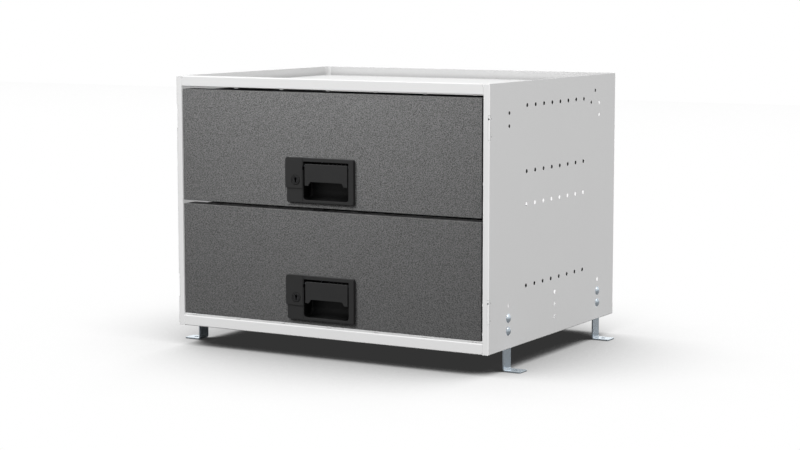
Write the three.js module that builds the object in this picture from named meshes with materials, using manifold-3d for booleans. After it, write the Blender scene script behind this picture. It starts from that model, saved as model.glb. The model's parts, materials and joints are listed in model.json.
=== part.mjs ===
// A steel cabinet with two lockable drawers, made to be bolted to the floor of a van.
// Millimetres, +Z up. The front faces -Y and +X is on the right of someone who looks at the front.
// Pieces are drawn in the carcass frame, whose origin is under the middle of the carcass, at its
// lower edge. The exported group lifts it onto its feet and centres the whole object in depth.

import * as THREE from "three";
import { mergeVertices } from "three/addons/utils/BufferGeometryUtils.js";
import Module from "manifold-3d";

const wasm = await Module();
wasm.setup();

// Carcass
const CARCASS_WIDTH = 750;
const CARCASS_DEPTH = 600;
const CARCASS_HEIGHT = 535;
const SHEET = 1.5;
const BEND_RADIUS = 2;
const SIDE_FLANGE = 13.5;
const RAIL_HEIGHT = 22;
const RAIL_RETURN = 28;
const PAN_UPSTAND = 18;
const SEAM = 0.3;
const BEND_ROOM = 3;
const RELIEF_WIDTH = 2.4;
const RELIEF_HEIGHT = 4;
const OVERRUN = 1;

// Welding tabs under the front rails
const TAB_COUNT = 7;
const TAB_INSET = 22.2;
const TAB_WIDTH = 8;
const TAB_DROP = 2;
const TAB_SETBACK = 6.8;
const TAB_THICKNESS = 3;

// Welding tabs at the tips of the side panels' front flanges
const NUB_HEIGHTS = [41.3, 99.6, 339.4];
const NUB_LENGTH = 6;
const NUB_PROUD = 0.9;

// Holes of the side panels
const GRID_TOP_INSET = 49.15;
const GRID_ROWS = [0, 5, 7, 11];
const GRID_COLUMNS = 8;
const GRID_COLUMN_PITCH = 38.8;
const GRID_HOLE_RADIUS = 4;
const PAIR_INSET = 85;
const PAIR_DROP = 61;
const PAIR_PITCH = 26;
const PAIR_HOLE_RADIUS = 3.5;
const SLANT_HOLE_INSET = 105.8;
const SLANT_HOLE_DROP = 33.7;
const SLANT_HOLE_FORWARD = 20.5;
const SLANT_HOLE_DOWN = 24.7;
const TRIPLE_FIRST = 36.6;
const TRIPLE_PITCH = 25.85;
const TRIPLE_COUNT = 3;

// Hook slots at the front corners of the side panels
const HOOK_SLOT_WIDTH = 2.4;
const HOOK_SLOT_HEIGHT = 50;
const HOOK_SLOT_DEPTH = 0.6;
const HOOK_SLOT_INSET = 3.2;
const HOOK_SLOT_END = 61;
const HOOK_DOT_RADIUS = 1.6;
const HOOK_DOT_RISE = 16;
const HOOK_PIN_RADIUS = 1.3;
const HOOK_PIN_INSET = 8.5;
const HOOK_PIN_PITCH = 35.4;

// Foot brackets and their fasteners
const FOOT_DROP = 44;
const FOOT_INSET = 85.5;
const FOOT_WIDTH = 32;
const FOOT_THICKNESS = 3;
const FOOT_LENGTH = 40;
const FOOT_BEND_RADIUS = 4.5;
const FOOT_HOLE_RADIUS = 4.5;
const FOOT_HOLE_OUT = 20.5;
const FOOT_LEG_END = 13.5;
const FOOT_SLOT_ROOM = 1;
const BOLT_HEAD_RADIUS = 9.15;
const BOLT_HEAD_HEIGHT = 4.8;
const BOLT_RADIUS = 4;
const BOLT_CLEARANCE = 0.25;
const BOLT_TAIL = 1.5;
const NUT_PLATE_THICKNESS = 5.5;
const NUT_PLATE_WIDTH = 18;
const NUT_PLATE_END = 10;

// Drawer fronts
const LOWER_GAP = 5;
const MIDDLE_GAP = 7.5;
const UPPER_GAP = 5.5;
const FRONT_SIDE_GAP = 1.5;
const FRONT_RETURN = 20;
const FRONT_TOP_RETURN = 39.5;
const CATCH_NOTCH_PLAY = 2;

// Drawer boxes
const BOX_RISE = 68;
const BOX_TOP_GAP = 3.5;
const BOX_FRONT_INSET = 40.5;
const BOX_BACK_INSET = 35;
const BOX_BACK_HEIGHT = 140;
const BOX_HEM = 8;
const BOX_FRONT_TAB = 20;

// Drawer slides
const CARRIER_DEPTH = 15;
const CARRIER_WEB = 36;
const CARRIER_FLANGE = 8;
const SLIDE_RISE = 92;
const SLIDE_LENGTH = 540;
const SLIDE_HEIGHT = 46;
const SLIDE_WIDTH = 12.7;
const SLIDE_SHEET = 1.2;
const SLIDE_BEND = 0.9;
const SLIDE_PLAY = 0.45;
const SLIDE_LIP = 0.7;
const SLIDE_STOP_GAP = 1.5;
const SLIDE_FRONT_GAP = 2;

// Rail behind the gap between the drawers, and the catches of the two latches
const MIDDLE_RAIL_RISE = 2;
const MIDDLE_RAIL_HEIGHT = 11;
const MIDDLE_RAIL_DEPTH = 40;
const MIDDLE_RAIL_INSET = 23;
const CATCH_WIDTH = 24;

// Handle plate and its finger cup
const HANDLE_CENTRE = -11;
const HANDLE_WIDTH = 161;
const HANDLE_HEIGHT = 93;
const HANDLE_RISE = 10.4;
const HANDLE_PROUD = 7.5;
const HANDLE_CORNER = 4;
const HANDLE_WALL = 2.5;
const HANDLE_LAP = 5.2;
const CUP_LEFT_INSET = 40.5;
const CUP_RIGHT_INSET = 12;
const CUP_RISE = 8.3;
const CUP_HEIGHT = 76.8;
const CUP_DEPTH = 31.5;
const CUP_WALL = 2;
const CUP_CORNER = 7;
const CUP_UPPER_CORNER = 1.5;
const CUP_SCOOP = 20;
const CUP_NOTCH_WIDTH = 1.6;
const CUP_NOTCH_HEIGHT = 7;
const CUP_NOTCH_RISE = 59.6;
const CUP_NOTCH_DEPTH = 3;

// Paddle, its pin and its spring
const PADDLE_PLAY = 2.9;
const PADDLE_TOP_GAP = 4.9;
const PADDLE_RECESS = 0.5;
const PADDLE_THICKNESS = 3.5;
const PADDLE_HEIGHT = 37;
const PADDLE_EAR_DROP = 8;
const PADDLE_EAR_WIDTH = 8.4;
const PADDLE_EAR_SLANT = 5.5;
const PADDLE_GRIP_DEPTH = 9;
const PADDLE_GRIP_THICKNESS = 2.4;
const PADDLE_HUB_RADIUS = 3.8;
const PADDLE_HUB_BACK = 5.5;
const PADDLE_HUB_DROP = 4;
const HUB_RIB_COUNT = 5;
const HUB_RIB_PITCH = 10.3;
const HUB_RIB_WIDTH = 2.2;
const HUB_RIB_RISE = 2;
const HUB_RIB_INSET = 8;
const PIN_RADIUS = 2;
const PIN_CLEARANCE = 0.2;
const ARM_INSET = 17;
const ARM_WIDTH = 8;
const ARM_HEIGHT = 4;
const ARM_LENGTH = 36;
const ARM_SLOT_DROP = 15.5;
const ARM_SLOT_RISE = 2.5;
const SPRING_RADIUS = 3;
const SPRING_WIRE_RADIUS = 0.45;
const SPRING_PITCH = 1.5;
const SPRING_TURNS = 5.25;
const SPRING_LEG = 10;
const SPRING_LEG_PLAY = 0.3;
const SPRING_INSET = 41;
const SPRING_POCKET_RADIUS = 4.1;
const SPRING_POCKET_LENGTH = 11;

// Latch rod
const ROD_THICKNESS = 5;
const ROD_FRONT = 28.5;
const ROD_FOOT_PLAY = 0.4;
const ROD_WINDOW_DROP = 4.2;
const ROD_WINDOW_RISE = 3.2;
const ROD_HEAD_WALL = 4;
const ROD_WINDOW_SIDE = 0.8;
const ROD_GUIDE_PLAY = 0.4;
const ROD_GUIDE_DROP = 28;
const ROD_GUIDE_WIDTH = 26;
const LATCH_CLEARANCE = 0.4;

// Lock
const LOCK_INSET = 22.5;
const LOCK_RISE = 56.9;
const LOCK_FACE_RADIUS = 10.8;
const LOCK_FACE_PROUD = 0.5;
const LOCK_FACE_PLAY = 0.5;
const LOCK_SHAFT_RADIUS = 9;
const LOCK_SHAFT_PLAY = 0.3;
const LOCK_BOSS_WALL = 2.2;
const LOCK_BOSS_DEPTH = 22;
const PLUG_RADIUS = 6.8;
const PLUG_PLAY = 0.3;
const KEYWAY_WIDTH = 2.2;
const KEYWAY_HEIGHT = 11;
const KEYWAY_DEPTH = 6;
const LOCK_COVER_OVERHANG = 3.2;
const LOCK_COVER_WIDTH = 41.9;
const LOCK_COVER_RISE = 40;
const LOCK_COVER_THICKNESS = 1;
const LOCK_COVER_CORNER = 4;
const CAM_LENGTH = 39;
const CAM_WIDTH = 10;
const CAM_THICKNESS = 3;
const CAM_PLAY = 1.5;

// Facets of round shapes
const BEND_STEPS = 3;
const SLIDE_BEND_STEPS = 1;
const CORNER_STEPS = 4;
const HOLE_SIDES = 12;
const FINE_SIDES = 24;
const SPRING_STEPS_PER_TURN = 8;
const SPRING_SIDES = 5;

// Places that several pieces share
const HALF_WIDTH = CARCASS_WIDTH / 2;
const FRONT = -CARCASS_DEPTH / 2;
const BACK = CARCASS_DEPTH / 2;
const HALF_SHEET = SHEET / 2;
const MIDDLE_BEND = BEND_RADIUS - HALF_SHEET;
const INNER_FACE = HALF_WIDTH - SHEET;
const FLANGE_TIP = HALF_WIDTH - SIDE_FLANGE;
const PAN_FLOOR = CARCASS_HEIGHT - RAIL_HEIGHT;
const FRONT_HEIGHT = (CARCASS_HEIGHT - 2 * RAIL_HEIGHT - LOWER_GAP - MIDDLE_GAP - UPPER_GAP) / 2;
const FRONT_HALF_WIDTH = FLANGE_TIP - FRONT_SIDE_GAP;
const LOWER_DRAWER = RAIL_HEIGHT + LOWER_GAP;
const UPPER_DRAWER = LOWER_DRAWER + FRONT_HEIGHT + MIDDLE_GAP;
const CARRIER_FACE = INNER_FACE - CARRIER_DEPTH;
const BOX_FACE = CARRIER_FACE - SLIDE_WIDTH;
const BOX_TOP = FRONT_HEIGHT - BOX_TOP_GAP;
const BOX_FRONT = FRONT + BOX_FRONT_INSET;
const BOX_BACK = BACK - BOX_BACK_INSET;
const PANEL_BACK = FRONT + SHEET;
const SLIDE_FRONT = FRONT + FRONT_RETURN + SLIDE_FRONT_GAP;
const SLIDE_BACK = SLIDE_FRONT + SLIDE_LENGTH;
const SLIDE_ROW = LOWER_DRAWER + SLIDE_RISE;
const GRID_ROW_PITCH = (CARCASS_HEIGHT - GRID_TOP_INSET - SLIDE_ROW) / GRID_ROWS.at(-1);
const FOOT_PLACES = [FRONT + FOOT_INSET, BACK - FOOT_INSET];
const BOLT_HEIGHTS = [TRIPLE_FIRST, TRIPLE_FIRST + TRIPLE_PITCH];
const BOLT_HOLE_RADIUS = BOLT_RADIUS + BOLT_CLEARANCE;
const LEG_TOP = TRIPLE_FIRST + TRIPLE_PITCH + FOOT_LEG_END;
const LEG_INNER = INNER_FACE - FOOT_THICKNESS;
const HANDLE_FACE = FRONT - HANDLE_PROUD;
const HANDLE_LEFT = HANDLE_CENTRE - HANDLE_WIDTH / 2;
const HANDLE_RIGHT = HANDLE_CENTRE + HANDLE_WIDTH / 2;
const HANDLE_TOP = HANDLE_RISE + HANDLE_HEIGHT;
const CUP_LEFT = HANDLE_LEFT + CUP_LEFT_INSET;
const CUP_RIGHT = HANDLE_RIGHT - CUP_RIGHT_INSET;
const CUP_BOTTOM = HANDLE_RISE + CUP_RISE;
const CUP_TOP = CUP_BOTTOM + CUP_HEIGHT;
const CUP_BACK = HANDLE_FACE + CUP_DEPTH;
const ARM_CENTRE = CUP_LEFT + ARM_INSET;
const SPRING_CENTRE = CUP_LEFT + SPRING_INSET;
const LOCK_CENTRE = HANDLE_LEFT + LOCK_INSET;
const PADDLE_FACE = HANDLE_FACE + PADDLE_RECESS;
const PADDLE_TOP = CUP_TOP - PADDLE_TOP_GAP;
const PIVOT_Y = PADDLE_FACE + PADDLE_HUB_BACK;
const PIVOT_Z = PADDLE_TOP - PADDLE_HUB_DROP;
const ROD_Y = FRONT + ROD_FRONT;
const ROD_TOP = BOX_TOP + LATCH_CLEARANCE;
const COVER_FACE = HANDLE_FACE - LOCK_COVER_THICKNESS;
const LOCK_FACE = COVER_FACE - LOCK_FACE_PROUD;
const CAM_FRONT = CUP_BACK + CUP_WALL + CAM_PLAY;
const ROD_FOOT = LOCK_RISE + CAM_WIDTH / 2 + ROD_FOOT_PLAY;

const ORIGIN = new THREE.Vector2();
const ascending = (a, b) => a - b;

// Finishes
const paint = (colour, roughness, metalness) =>
  new THREE.MeshStandardMaterial({ color: colour, roughness, metalness });
const pearlWhite = () => paint(0xe3e3e3, 0.45, 0);
const graphiteTexture = () => paint(0x585858, 0.8, 0);
const blackPlastic = () => paint(0x2c2c2d, 0.5, 0);
const zincPlate = () => paint(0xa7b0b8, 0.35, 0.85);
const blackZinc = () => paint(0x2a2a2b, 0.4, 0.6);
const springWire = () => paint(0xb9bdc2, 0.3, 0.9);

// A closed three.js geometry as a solid that can be joined and cut.
function solidOf(geometry) {
  const bare = geometry.clone();
  bare.deleteAttribute("normal");
  bare.deleteAttribute("uv");
  const merged = mergeVertices(bare);
  return new wasm.Manifold(
    new wasm.Mesh({
      numProp: 3,
      vertProperties: new Float32Array(merged.attributes.position.array),
      triVerts: new Uint32Array(merged.index.array),
    }),
  );
}

// Puts a solid into the scene graph as a named mesh.
function addPiece(group, name, solid, material) {
  const { numProp, vertProperties, triVerts } = solid.getMesh();
  const geometry = new THREE.BufferGeometry();
  geometry.setAttribute("position", new THREE.BufferAttribute(vertProperties, numProp));
  geometry.setIndex(new THREE.BufferAttribute(triVerts, 1));
  geometry.computeVertexNormals();
  const mesh = new THREE.Mesh(geometry, material);
  mesh.name = name;
  group.add(mesh);
  return mesh;
}

// A box between two values on each axis.
function box(xs, ys, zs) {
  const spans = [xs, ys, zs];
  const geometry = new THREE.BoxGeometry(...spans.map(([low, high]) => high - low));
  geometry.translate(...spans.map(([low, high]) => (low + high) / 2));
  return solidOf(geometry);
}

// The plane of a section and the direction it is drawn out in. Along y, the section's u is x, its v
// is z, and the extrusion runs towards -Y, which keeps the basis right-handed.
const BASES = {
  x: [new THREE.Vector3(0, 1, 0), new THREE.Vector3(0, 0, 1), new THREE.Vector3(1, 0, 0)],
  y: [new THREE.Vector3(1, 0, 0), new THREE.Vector3(0, 0, 1), new THREE.Vector3(0, -1, 0)],
  z: [new THREE.Vector3(1, 0, 0), new THREE.Vector3(0, 1, 0), new THREE.Vector3(0, 0, 1)],
};

// A flat shape drawn out along an axis between two values.
function extrude(shape, axis, from, to, curveSegments = CORNER_STEPS) {
  const settings = { depth: to - from, steps: 1, bevelEnabled: false, curveSegments };
  const geometry = new THREE.ExtrudeGeometry(shape, settings);
  const start = BASES[axis][2].clone().multiplyScalar(axis === "y" ? -to : from);
  geometry.applyMatrix4(new THREE.Matrix4().makeBasis(...BASES[axis]).setPosition(start));
  return solidOf(geometry);
}

// A round bar along an axis, centred on the point (u, v) of the section plane.
function bar(axis, u, v, radius, from, to, sides = HOLE_SIDES) {
  const rim = new THREE.Path().absarc(0, 0, radius, 0, 2 * Math.PI).getSpacedPoints(sides).slice(0, -1);
  const shape = new THREE.Shape(rim.map((point) => new THREE.Vector2(point.x + u, point.y + v)));
  return extrude(shape, axis, from, to);
}

// The outline of a folded sheet. The corners are those of the sheet's middle line, and each bend
// is an arc of the given radius about that line.
function foldedSection(corners, thickness, radius, steps) {
  const points = corners.map(([u, v]) => new THREE.Vector2(u, v));
  const directions = points.slice(1).map((point, i) => point.clone().sub(points[i]).normalize());
  const left = [];
  const right = [];
  const put = (point, normal) => {
    left.push(point.clone().addScaledVector(normal, thickness / 2));
    right.unshift(point.clone().addScaledVector(normal, -thickness / 2));
  };
  const normalOf = (direction) => new THREE.Vector2(-direction.y, direction.x);
  put(points[0], normalOf(directions[0]));
  for (let i = 1; i < points.length - 1; i += 1) {
    const before = directions[i - 1];
    const turn = Math.atan2(before.cross(directions[i]), before.dot(directions[i]));
    const setback = radius * Math.tan(Math.abs(turn) / 2);
    const start = points[i].clone().addScaledVector(before, -setback);
    const centre = start.clone().addScaledVector(normalOf(before), radius * Math.sign(turn));
    for (let k = 0; k <= steps; k += 1) {
      const angle = (turn * k) / steps;
      put(start.clone().rotateAround(centre, angle), normalOf(before).rotateAround(ORIGIN, angle));
    }
  }
  put(points.at(-1), normalOf(directions.at(-1)));
  return new THREE.Shape([...left, ...right]);
}

// A sheet of the carcass's thickness, folded to a middle line and drawn out along an axis.
function foldedSheet(corners, axis, from, to) {
  return extrude(foldedSection(corners, SHEET, MIDDLE_BEND, BEND_STEPS), axis, from, to);
}

// A rectangle with rounded corners: two radii, for the lower and the upper pair.
function roundedRectangle(left, right, bottom, top, lower, upper) {
  const quarter = Math.PI / 2;
  return new THREE.Shape()
    .moveTo(left + lower, bottom)
    .absarc(right - lower, bottom + lower, lower, -quarter, 0)
    .absarc(right - upper, top - upper, upper, 0, quarter)
    .absarc(left + upper, top - upper, upper, quarter, 2 * quarter)
    .absarc(left + lower, bottom + lower, lower, 2 * quarter, 3 * quarter);
}

// What has to come off a square edge to round it: the corner is at (u, v), and the signs point
// from it into the material.
function edgeCutter(axis, u, v, signU, signV, radius, from, to) {
  const shape = new THREE.Shape();
  shape.moveTo(u - signU * OVERRUN, v - signV * OVERRUN);
  shape.lineTo(u + signU * radius, v - signV * OVERRUN);
  for (let k = 0; k <= BEND_STEPS; k += 1) {
    const angle = (Math.PI / 2) * (k / BEND_STEPS);
    shape.lineTo(
      u + signU * radius * (1 - Math.sin(angle)),
      v + signV * radius * (1 - Math.cos(angle)),
    );
  }
  shape.lineTo(u - signU * OVERRUN, v + signV * radius);
  return extrude(shape, axis, from, to);
}

// The numbers of an evenly spaced row that is centred on zero.
function spaced(count, pitch) {
  return Array.from({ length: count }, (_, i) => (i - (count - 1) / 2) * pitch);
}

// Every hole of a side panel as [y, z, radius].
function sideHoles() {
  const holes = [];
  for (const row of GRID_ROWS) {
    for (const y of spaced(GRID_COLUMNS, GRID_COLUMN_PITCH)) {
      holes.push([y, SLIDE_ROW + row * GRID_ROW_PITCH, GRID_HOLE_RADIUS]);
    }
  }
  for (const y of [FRONT + PAIR_INSET, BACK - PAIR_INSET]) {
    for (const step of [0, 1]) {
      holes.push([y, CARCASS_HEIGHT - PAIR_DROP - step * PAIR_PITCH, PAIR_HOLE_RADIUS]);
    }
  }
  for (const step of [0, 1]) {
    const y = BACK - SLANT_HOLE_INSET - step * SLANT_HOLE_FORWARD;
    holes.push([y, CARCASS_HEIGHT - SLANT_HOLE_DROP - step * SLANT_HOLE_DOWN, PAIR_HOLE_RADIUS]);
  }
  for (const y of [FOOT_PLACES[0], 0, FOOT_PLACES[1]]) {
    for (let i = 0; i < TRIPLE_COUNT; i += 1) {
      holes.push([y, TRIPLE_FIRST + i * TRIPLE_PITCH, BOLT_HOLE_RADIUS]);
    }
  }
  return holes;
}

// Right side panel: a web with a flange folded in along its front, back and lower edges.
function sidePanel() {
  const tipX = FLANGE_TIP;
  const webX = HALF_WIDTH - HALF_SHEET;
  const frontY = FRONT + HALF_SHEET;
  const backY = BACK - HALF_SHEET;
  const plan = [[tipX, frontY], [webX, frontY], [webX, backY], [tipX, backY]];
  const hem = [[tipX, HALF_SHEET], [webX, HALF_SHEET], [webX, RAIL_HEIGHT]];
  let panel = foldedSheet(plan, "z", 0, CARCASS_HEIGHT);
  panel = panel.subtract(
    edgeCutter("y", HALF_WIDTH, 0, -1, 1, BEND_RADIUS, FRONT + BEND_RADIUS, BACK - BEND_RADIUS),
  );
  panel = panel.add(foldedSheet(hem, "y", FRONT + HALF_SHEET, BACK - HALF_SHEET));
  const returnRoom = [FRONT - OVERRUN, FRONT + RAIL_RETURN + SEAM];
  const webRoom = [FLANGE_TIP - OVERRUN, HALF_WIDTH + OVERRUN];
  panel = panel.subtract(
    box(webRoom, returnRoom, [CARCASS_HEIGHT - SHEET - SEAM, CARCASS_HEIGHT + OVERRUN]),
  );
  for (const y of FOOT_PLACES) {
    const half = FOOT_WIDTH / 2 + FOOT_SLOT_ROOM;
    const slotX = [LEG_INNER - SEAM, INNER_FACE];
    panel = panel.subtract(box(slotX, [y - half, y + half], [-OVERRUN, BEND_RADIUS + OVERRUN]));
  }
  for (const [y, z, radius] of sideHoles()) {
    panel = panel.subtract(bar("x", y, z, radius, INNER_FACE - OVERRUN, HALF_WIDTH + OVERRUN));
  }
  for (const z of NUB_HEIGHTS) {
    const nub = [z - NUB_LENGTH / 2, z + NUB_LENGTH / 2];
    panel = panel.add(
      box([FLANGE_TIP - NUB_PROUD, FLANGE_TIP + SHEET], [FRONT + SEAM, PANEL_BACK - SEAM], nub),
    );
  }
  const slotX = HALF_WIDTH - HOOK_SLOT_INSET;
  const slotXs = [slotX - HOOK_SLOT_WIDTH / 2, slotX + HOOK_SLOT_WIDTH / 2];
  const slotYs = [FRONT - OVERRUN, FRONT + HOOK_SLOT_DEPTH];
  for (const bottom of [HOOK_SLOT_END, CARCASS_HEIGHT - HOOK_SLOT_END - HOOK_SLOT_HEIGHT]) {
    const top = bottom + HOOK_SLOT_HEIGHT;
    panel = panel.subtract(box(slotXs, slotYs, [bottom, top]));
    const dotZ = top - HOOK_DOT_RISE / 2;
    panel = panel.subtract(
      bar("y", slotX, dotZ, HOOK_DOT_RADIUS, FRONT - OVERRUN, PANEL_BACK + OVERRUN),
    );
    for (const offset of spaced(2, HOOK_PIN_PITCH)) {
      const z = (bottom + top) / 2 + offset;
      const y = FRONT + HOOK_PIN_INSET;
      panel = panel.subtract(
        bar("x", y, z, HOOK_PIN_RADIUS, INNER_FACE - OVERRUN, HALF_WIDTH + OVERRUN),
      );
    }
  }
  return panel;
}

// The tray on top of the carcass: a floor, a front rail with a return, and three upstands. The base
// is the same piece turned upside down: it has no return over the side panels, and it is notched
// where the foot brackets pass.
function pan(isBase) {
  const middle = PAN_FLOOR + HALF_SHEET;
  const railY = FRONT + HALF_SHEET;
  const profile = [
    [BACK - HALF_SHEET, CARCASS_HEIGHT],
    [BACK - HALF_SHEET, middle],
    [railY, middle],
    [railY, CARCASS_HEIGHT - HALF_SHEET],
    [FRONT + RAIL_RETURN, CARCASS_HEIGHT - HALF_SHEET],
  ];
  const railHalf = FLANGE_TIP - SEAM;
  const wallX = INNER_FACE - HALF_SHEET;
  const wallTop = PAN_FLOOR + PAN_UPSTAND;
  const walls = [[-wallX, wallTop], [-wallX, middle], [wallX, middle], [wallX, wallTop]];
  let solid = foldedSheet(profile, "x", -railHalf, railHalf);
  solid = solid.add(foldedSheet(walls, "y", FRONT + SHEET + BEND_ROOM, BACK - SHEET - BEND_ROOM));
  const reliefTop = CARCASS_HEIGHT - SHEET;
  for (const side of [-1, 1]) {
    const relief = [side * (railHalf - RELIEF_WIDTH), side * (railHalf + OVERRUN)].sort(ascending);
    solid = solid.subtract(
      box(relief, [FRONT - OVERRUN, FRONT + BEND_RADIUS], [reliefTop - RELIEF_HEIGHT, reliefTop]),
    );
    if (isBase) continue;
    const wing = box(
      [side * (railHalf - RELIEF_WIDTH), side * HALF_WIDTH].sort(ascending),
      [FRONT, FRONT + RAIL_RETURN],
      [reliefTop, CARCASS_HEIGHT],
    );
    solid = solid.add(
      wing.subtract(
        edgeCutter("x", FRONT, CARCASS_HEIGHT, 1, -1, SHEET, -HALF_WIDTH, HALF_WIDTH),
      ),
    );
  }
  for (const x of spaced(TAB_COUNT, (2 * (railHalf - TAB_INSET)) / (TAB_COUNT - 1))) {
    const tab = [x - TAB_WIDTH / 2, x + TAB_WIDTH / 2];
    const depth = [FRONT + TAB_SETBACK, FRONT + TAB_SETBACK + TAB_THICKNESS];
    solid = solid.add(box(tab, depth, [PAN_FLOOR - TAB_DROP, PAN_FLOOR + HALF_SHEET]));
  }
  if (!isBase) return solid;
  const half = FOOT_WIDTH / 2 + FOOT_SLOT_ROOM;
  for (const y of FOOT_PLACES) {
    for (const side of [-1, 1]) {
      const notch = [side * (LEG_INNER - SEAM), side * HALF_WIDTH].sort(ascending);
      const height = [PAN_FLOOR - OVERRUN, CARCASS_HEIGHT + OVERRUN];
      solid = solid.subtract(box(notch, [y - half, y + half], height));
    }
  }
  return solid;
}

// Rail across the carcass behind the gap between the drawers: an upside-down channel with a tab
// folded down at each side panel.
function middleRail() {
  const bottom = UPPER_DRAWER + MIDDLE_RAIL_RISE;
  const top = bottom + MIDDLE_RAIL_HEIGHT;
  const near = FRONT + MIDDLE_RAIL_INSET;
  const far = near + MIDDLE_RAIL_DEPTH;
  const profile = [
    [near + HALF_SHEET, bottom],
    [near + HALF_SHEET, top - HALF_SHEET],
    [far - HALF_SHEET, top - HALF_SHEET],
    [far - HALF_SHEET, bottom],
  ];
  let rail = foldedSheet(profile, "x", -INNER_FACE, INNER_FACE);
  for (const side of [-1, 1]) {
    const tab = [side * (INNER_FACE - SHEET), side * INNER_FACE].sort(ascending);
    rail = rail.add(box(tab, [near + BEND_ROOM, far - BEND_ROOM], [bottom, top - HALF_SHEET]));
  }
  return rail;
}

// A latch catch: a plate that lies under the given height, with a lip folded down at its front.
function latchCatch(top, drawerBottom) {
  const lipY = FRONT + MIDDLE_RAIL_INSET + HALF_SHEET;
  const lipBottom = drawerBottom + ROD_TOP + LATCH_CLEARANCE;
  const profile = [
    [lipY, lipBottom],
    [lipY, top - HALF_SHEET],
    [FRONT + MIDDLE_RAIL_INSET + MIDDLE_RAIL_DEPTH, top - HALF_SHEET],
  ];
  return foldedSheet(profile, "x", ARM_CENTRE - CATCH_WIDTH / 2, ARM_CENTRE + CATCH_WIDTH / 2);
}

// Right foot bracket at y = 0: a leg inside the side panel and a foot that points outwards.
function footBracket() {
  const middleX = LEG_INNER + FOOT_THICKNESS / 2;
  const middleZ = -FOOT_DROP + FOOT_THICKNESS / 2;
  const corners = [[middleX, LEG_TOP], [middleX, middleZ], [LEG_INNER + FOOT_LENGTH, middleZ]];
  const section = foldedSection(corners, FOOT_THICKNESS, FOOT_BEND_RADIUS, CORNER_STEPS);
  let bracket = extrude(section, "y", -FOOT_WIDTH / 2, FOOT_WIDTH / 2);
  for (const z of BOLT_HEIGHTS) {
    const through = [LEG_INNER - OVERRUN, INNER_FACE + OVERRUN];
    bracket = bracket.subtract(bar("x", 0, z, BOLT_HOLE_RADIUS, ...through));
  }
  const through = [-FOOT_DROP - OVERRUN, -FOOT_DROP + FOOT_THICKNESS + OVERRUN];
  const holeX = LEG_INNER + FOOT_HOLE_OUT;
  return bracket.subtract(bar("z", holeX, 0, FOOT_HOLE_RADIUS, ...through));
}

// Cup-head bolt along +X, its head resting on the side panel's outer face.
function footBolt() {
  const tail = LEG_INNER - NUT_PLATE_THICKNESS - BOLT_TAIL;
  const dome = (BOLT_HEAD_RADIUS ** 2 + BOLT_HEAD_HEIGHT ** 2) / (2 * BOLT_HEAD_HEIGHT);
  const reach = Math.asin(BOLT_HEAD_RADIUS / dome);
  const profile = [new THREE.Vector2(0, tail), new THREE.Vector2(BOLT_RADIUS, tail)];
  profile.push(new THREE.Vector2(BOLT_RADIUS, HALF_WIDTH));
  for (let k = 0; k < CORNER_STEPS; k += 1) {
    const angle = reach * (1 - k / CORNER_STEPS);
    const height = HALF_WIDTH + BOLT_HEAD_HEIGHT - dome * (1 - Math.cos(angle));
    profile.push(new THREE.Vector2(dome * Math.sin(angle), height));
  }
  profile.push(new THREE.Vector2(0, HALF_WIDTH + BOLT_HEAD_HEIGHT));
  const geometry = new THREE.LatheGeometry(profile, HOLE_SIDES);
  geometry.rotateZ(-Math.PI / 2);
  return solidOf(geometry);
}

// Plate with two tapped holes that clamps a foot bracket from inside.
function nutPlate() {
  const low = TRIPLE_FIRST - NUT_PLATE_END;
  const high = TRIPLE_FIRST + TRIPLE_PITCH + NUT_PLATE_END;
  const xs = [LEG_INNER - NUT_PLATE_THICKNESS, LEG_INNER];
  let plate = box(xs, [-NUT_PLATE_WIDTH / 2, NUT_PLATE_WIDTH / 2], [low, high]);
  for (const z of BOLT_HEIGHTS) {
    plate = plate.subtract(bar("x", 0, z, BOLT_HOLE_RADIUS, xs[0] - OVERRUN, xs[1] + OVERRUN));
  }
  return plate;
}

// Right slide carrier: a hat section that spaces a slide in from the side panel.
function slideCarrier(centre) {
  const outer = INNER_FACE - HALF_SHEET;
  const inner = CARRIER_FACE + HALF_SHEET;
  const web = CARRIER_WEB / 2 - HALF_SHEET;
  const tip = CARRIER_WEB / 2 + CARRIER_FLANGE;
  const profile = [
    [outer, centre - tip],
    [outer, centre - web],
    [inner, centre - web],
    [inner, centre + web],
    [outer, centre + web],
    [outer, centre + tip],
  ];
  return foldedSheet(profile, "y", SLIDE_FRONT, SLIDE_BACK);
}

// One member of the right slide: a channel whose web is at webX, with flanges up to tipX.
function slideMember(centre, webX, tipX, height, from, to) {
  const edge = height / 2 - SLIDE_SHEET / 2;
  const inward = Math.sign(tipX - webX);
  const middle = webX + (inward * SLIDE_SHEET) / 2;
  const corners = [
    [tipX, centre + edge],
    [middle, centre + edge],
    [middle, centre - edge],
    [tipX, centre - edge],
  ];
  const section = foldedSection(corners, SLIDE_SHEET, SLIDE_BEND, SLIDE_BEND_STEPS);
  return extrude(section, "y", from, to);
}

// Cabinet member, screwed to the carrier, with a stop folded across its back end.
function slideOuter(centre) {
  const tip = BOX_FACE + SLIDE_LIP;
  const half = SLIDE_HEIGHT / 2;
  const member = slideMember(centre, CARRIER_FACE, tip, SLIDE_HEIGHT, SLIDE_FRONT, SLIDE_BACK);
  const stop = [SLIDE_BACK - SLIDE_SHEET, SLIDE_BACK];
  return member.add(box([tip, CARRIER_FACE - SLIDE_BEND], stop, [centre - half, centre + half]));
}

const MEMBER_STEP = SLIDE_SHEET + SLIDE_PLAY;
const MEMBER_BACK = SLIDE_BACK - SLIDE_SHEET - SLIDE_STOP_GAP;

function slideMiddle(centre) {
  const web = CARRIER_FACE - MEMBER_STEP;
  const height = SLIDE_HEIGHT - 2 * MEMBER_STEP;
  return slideMember(centre, web, BOX_FACE + SLIDE_LIP, height, SLIDE_FRONT, MEMBER_BACK);
}

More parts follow.
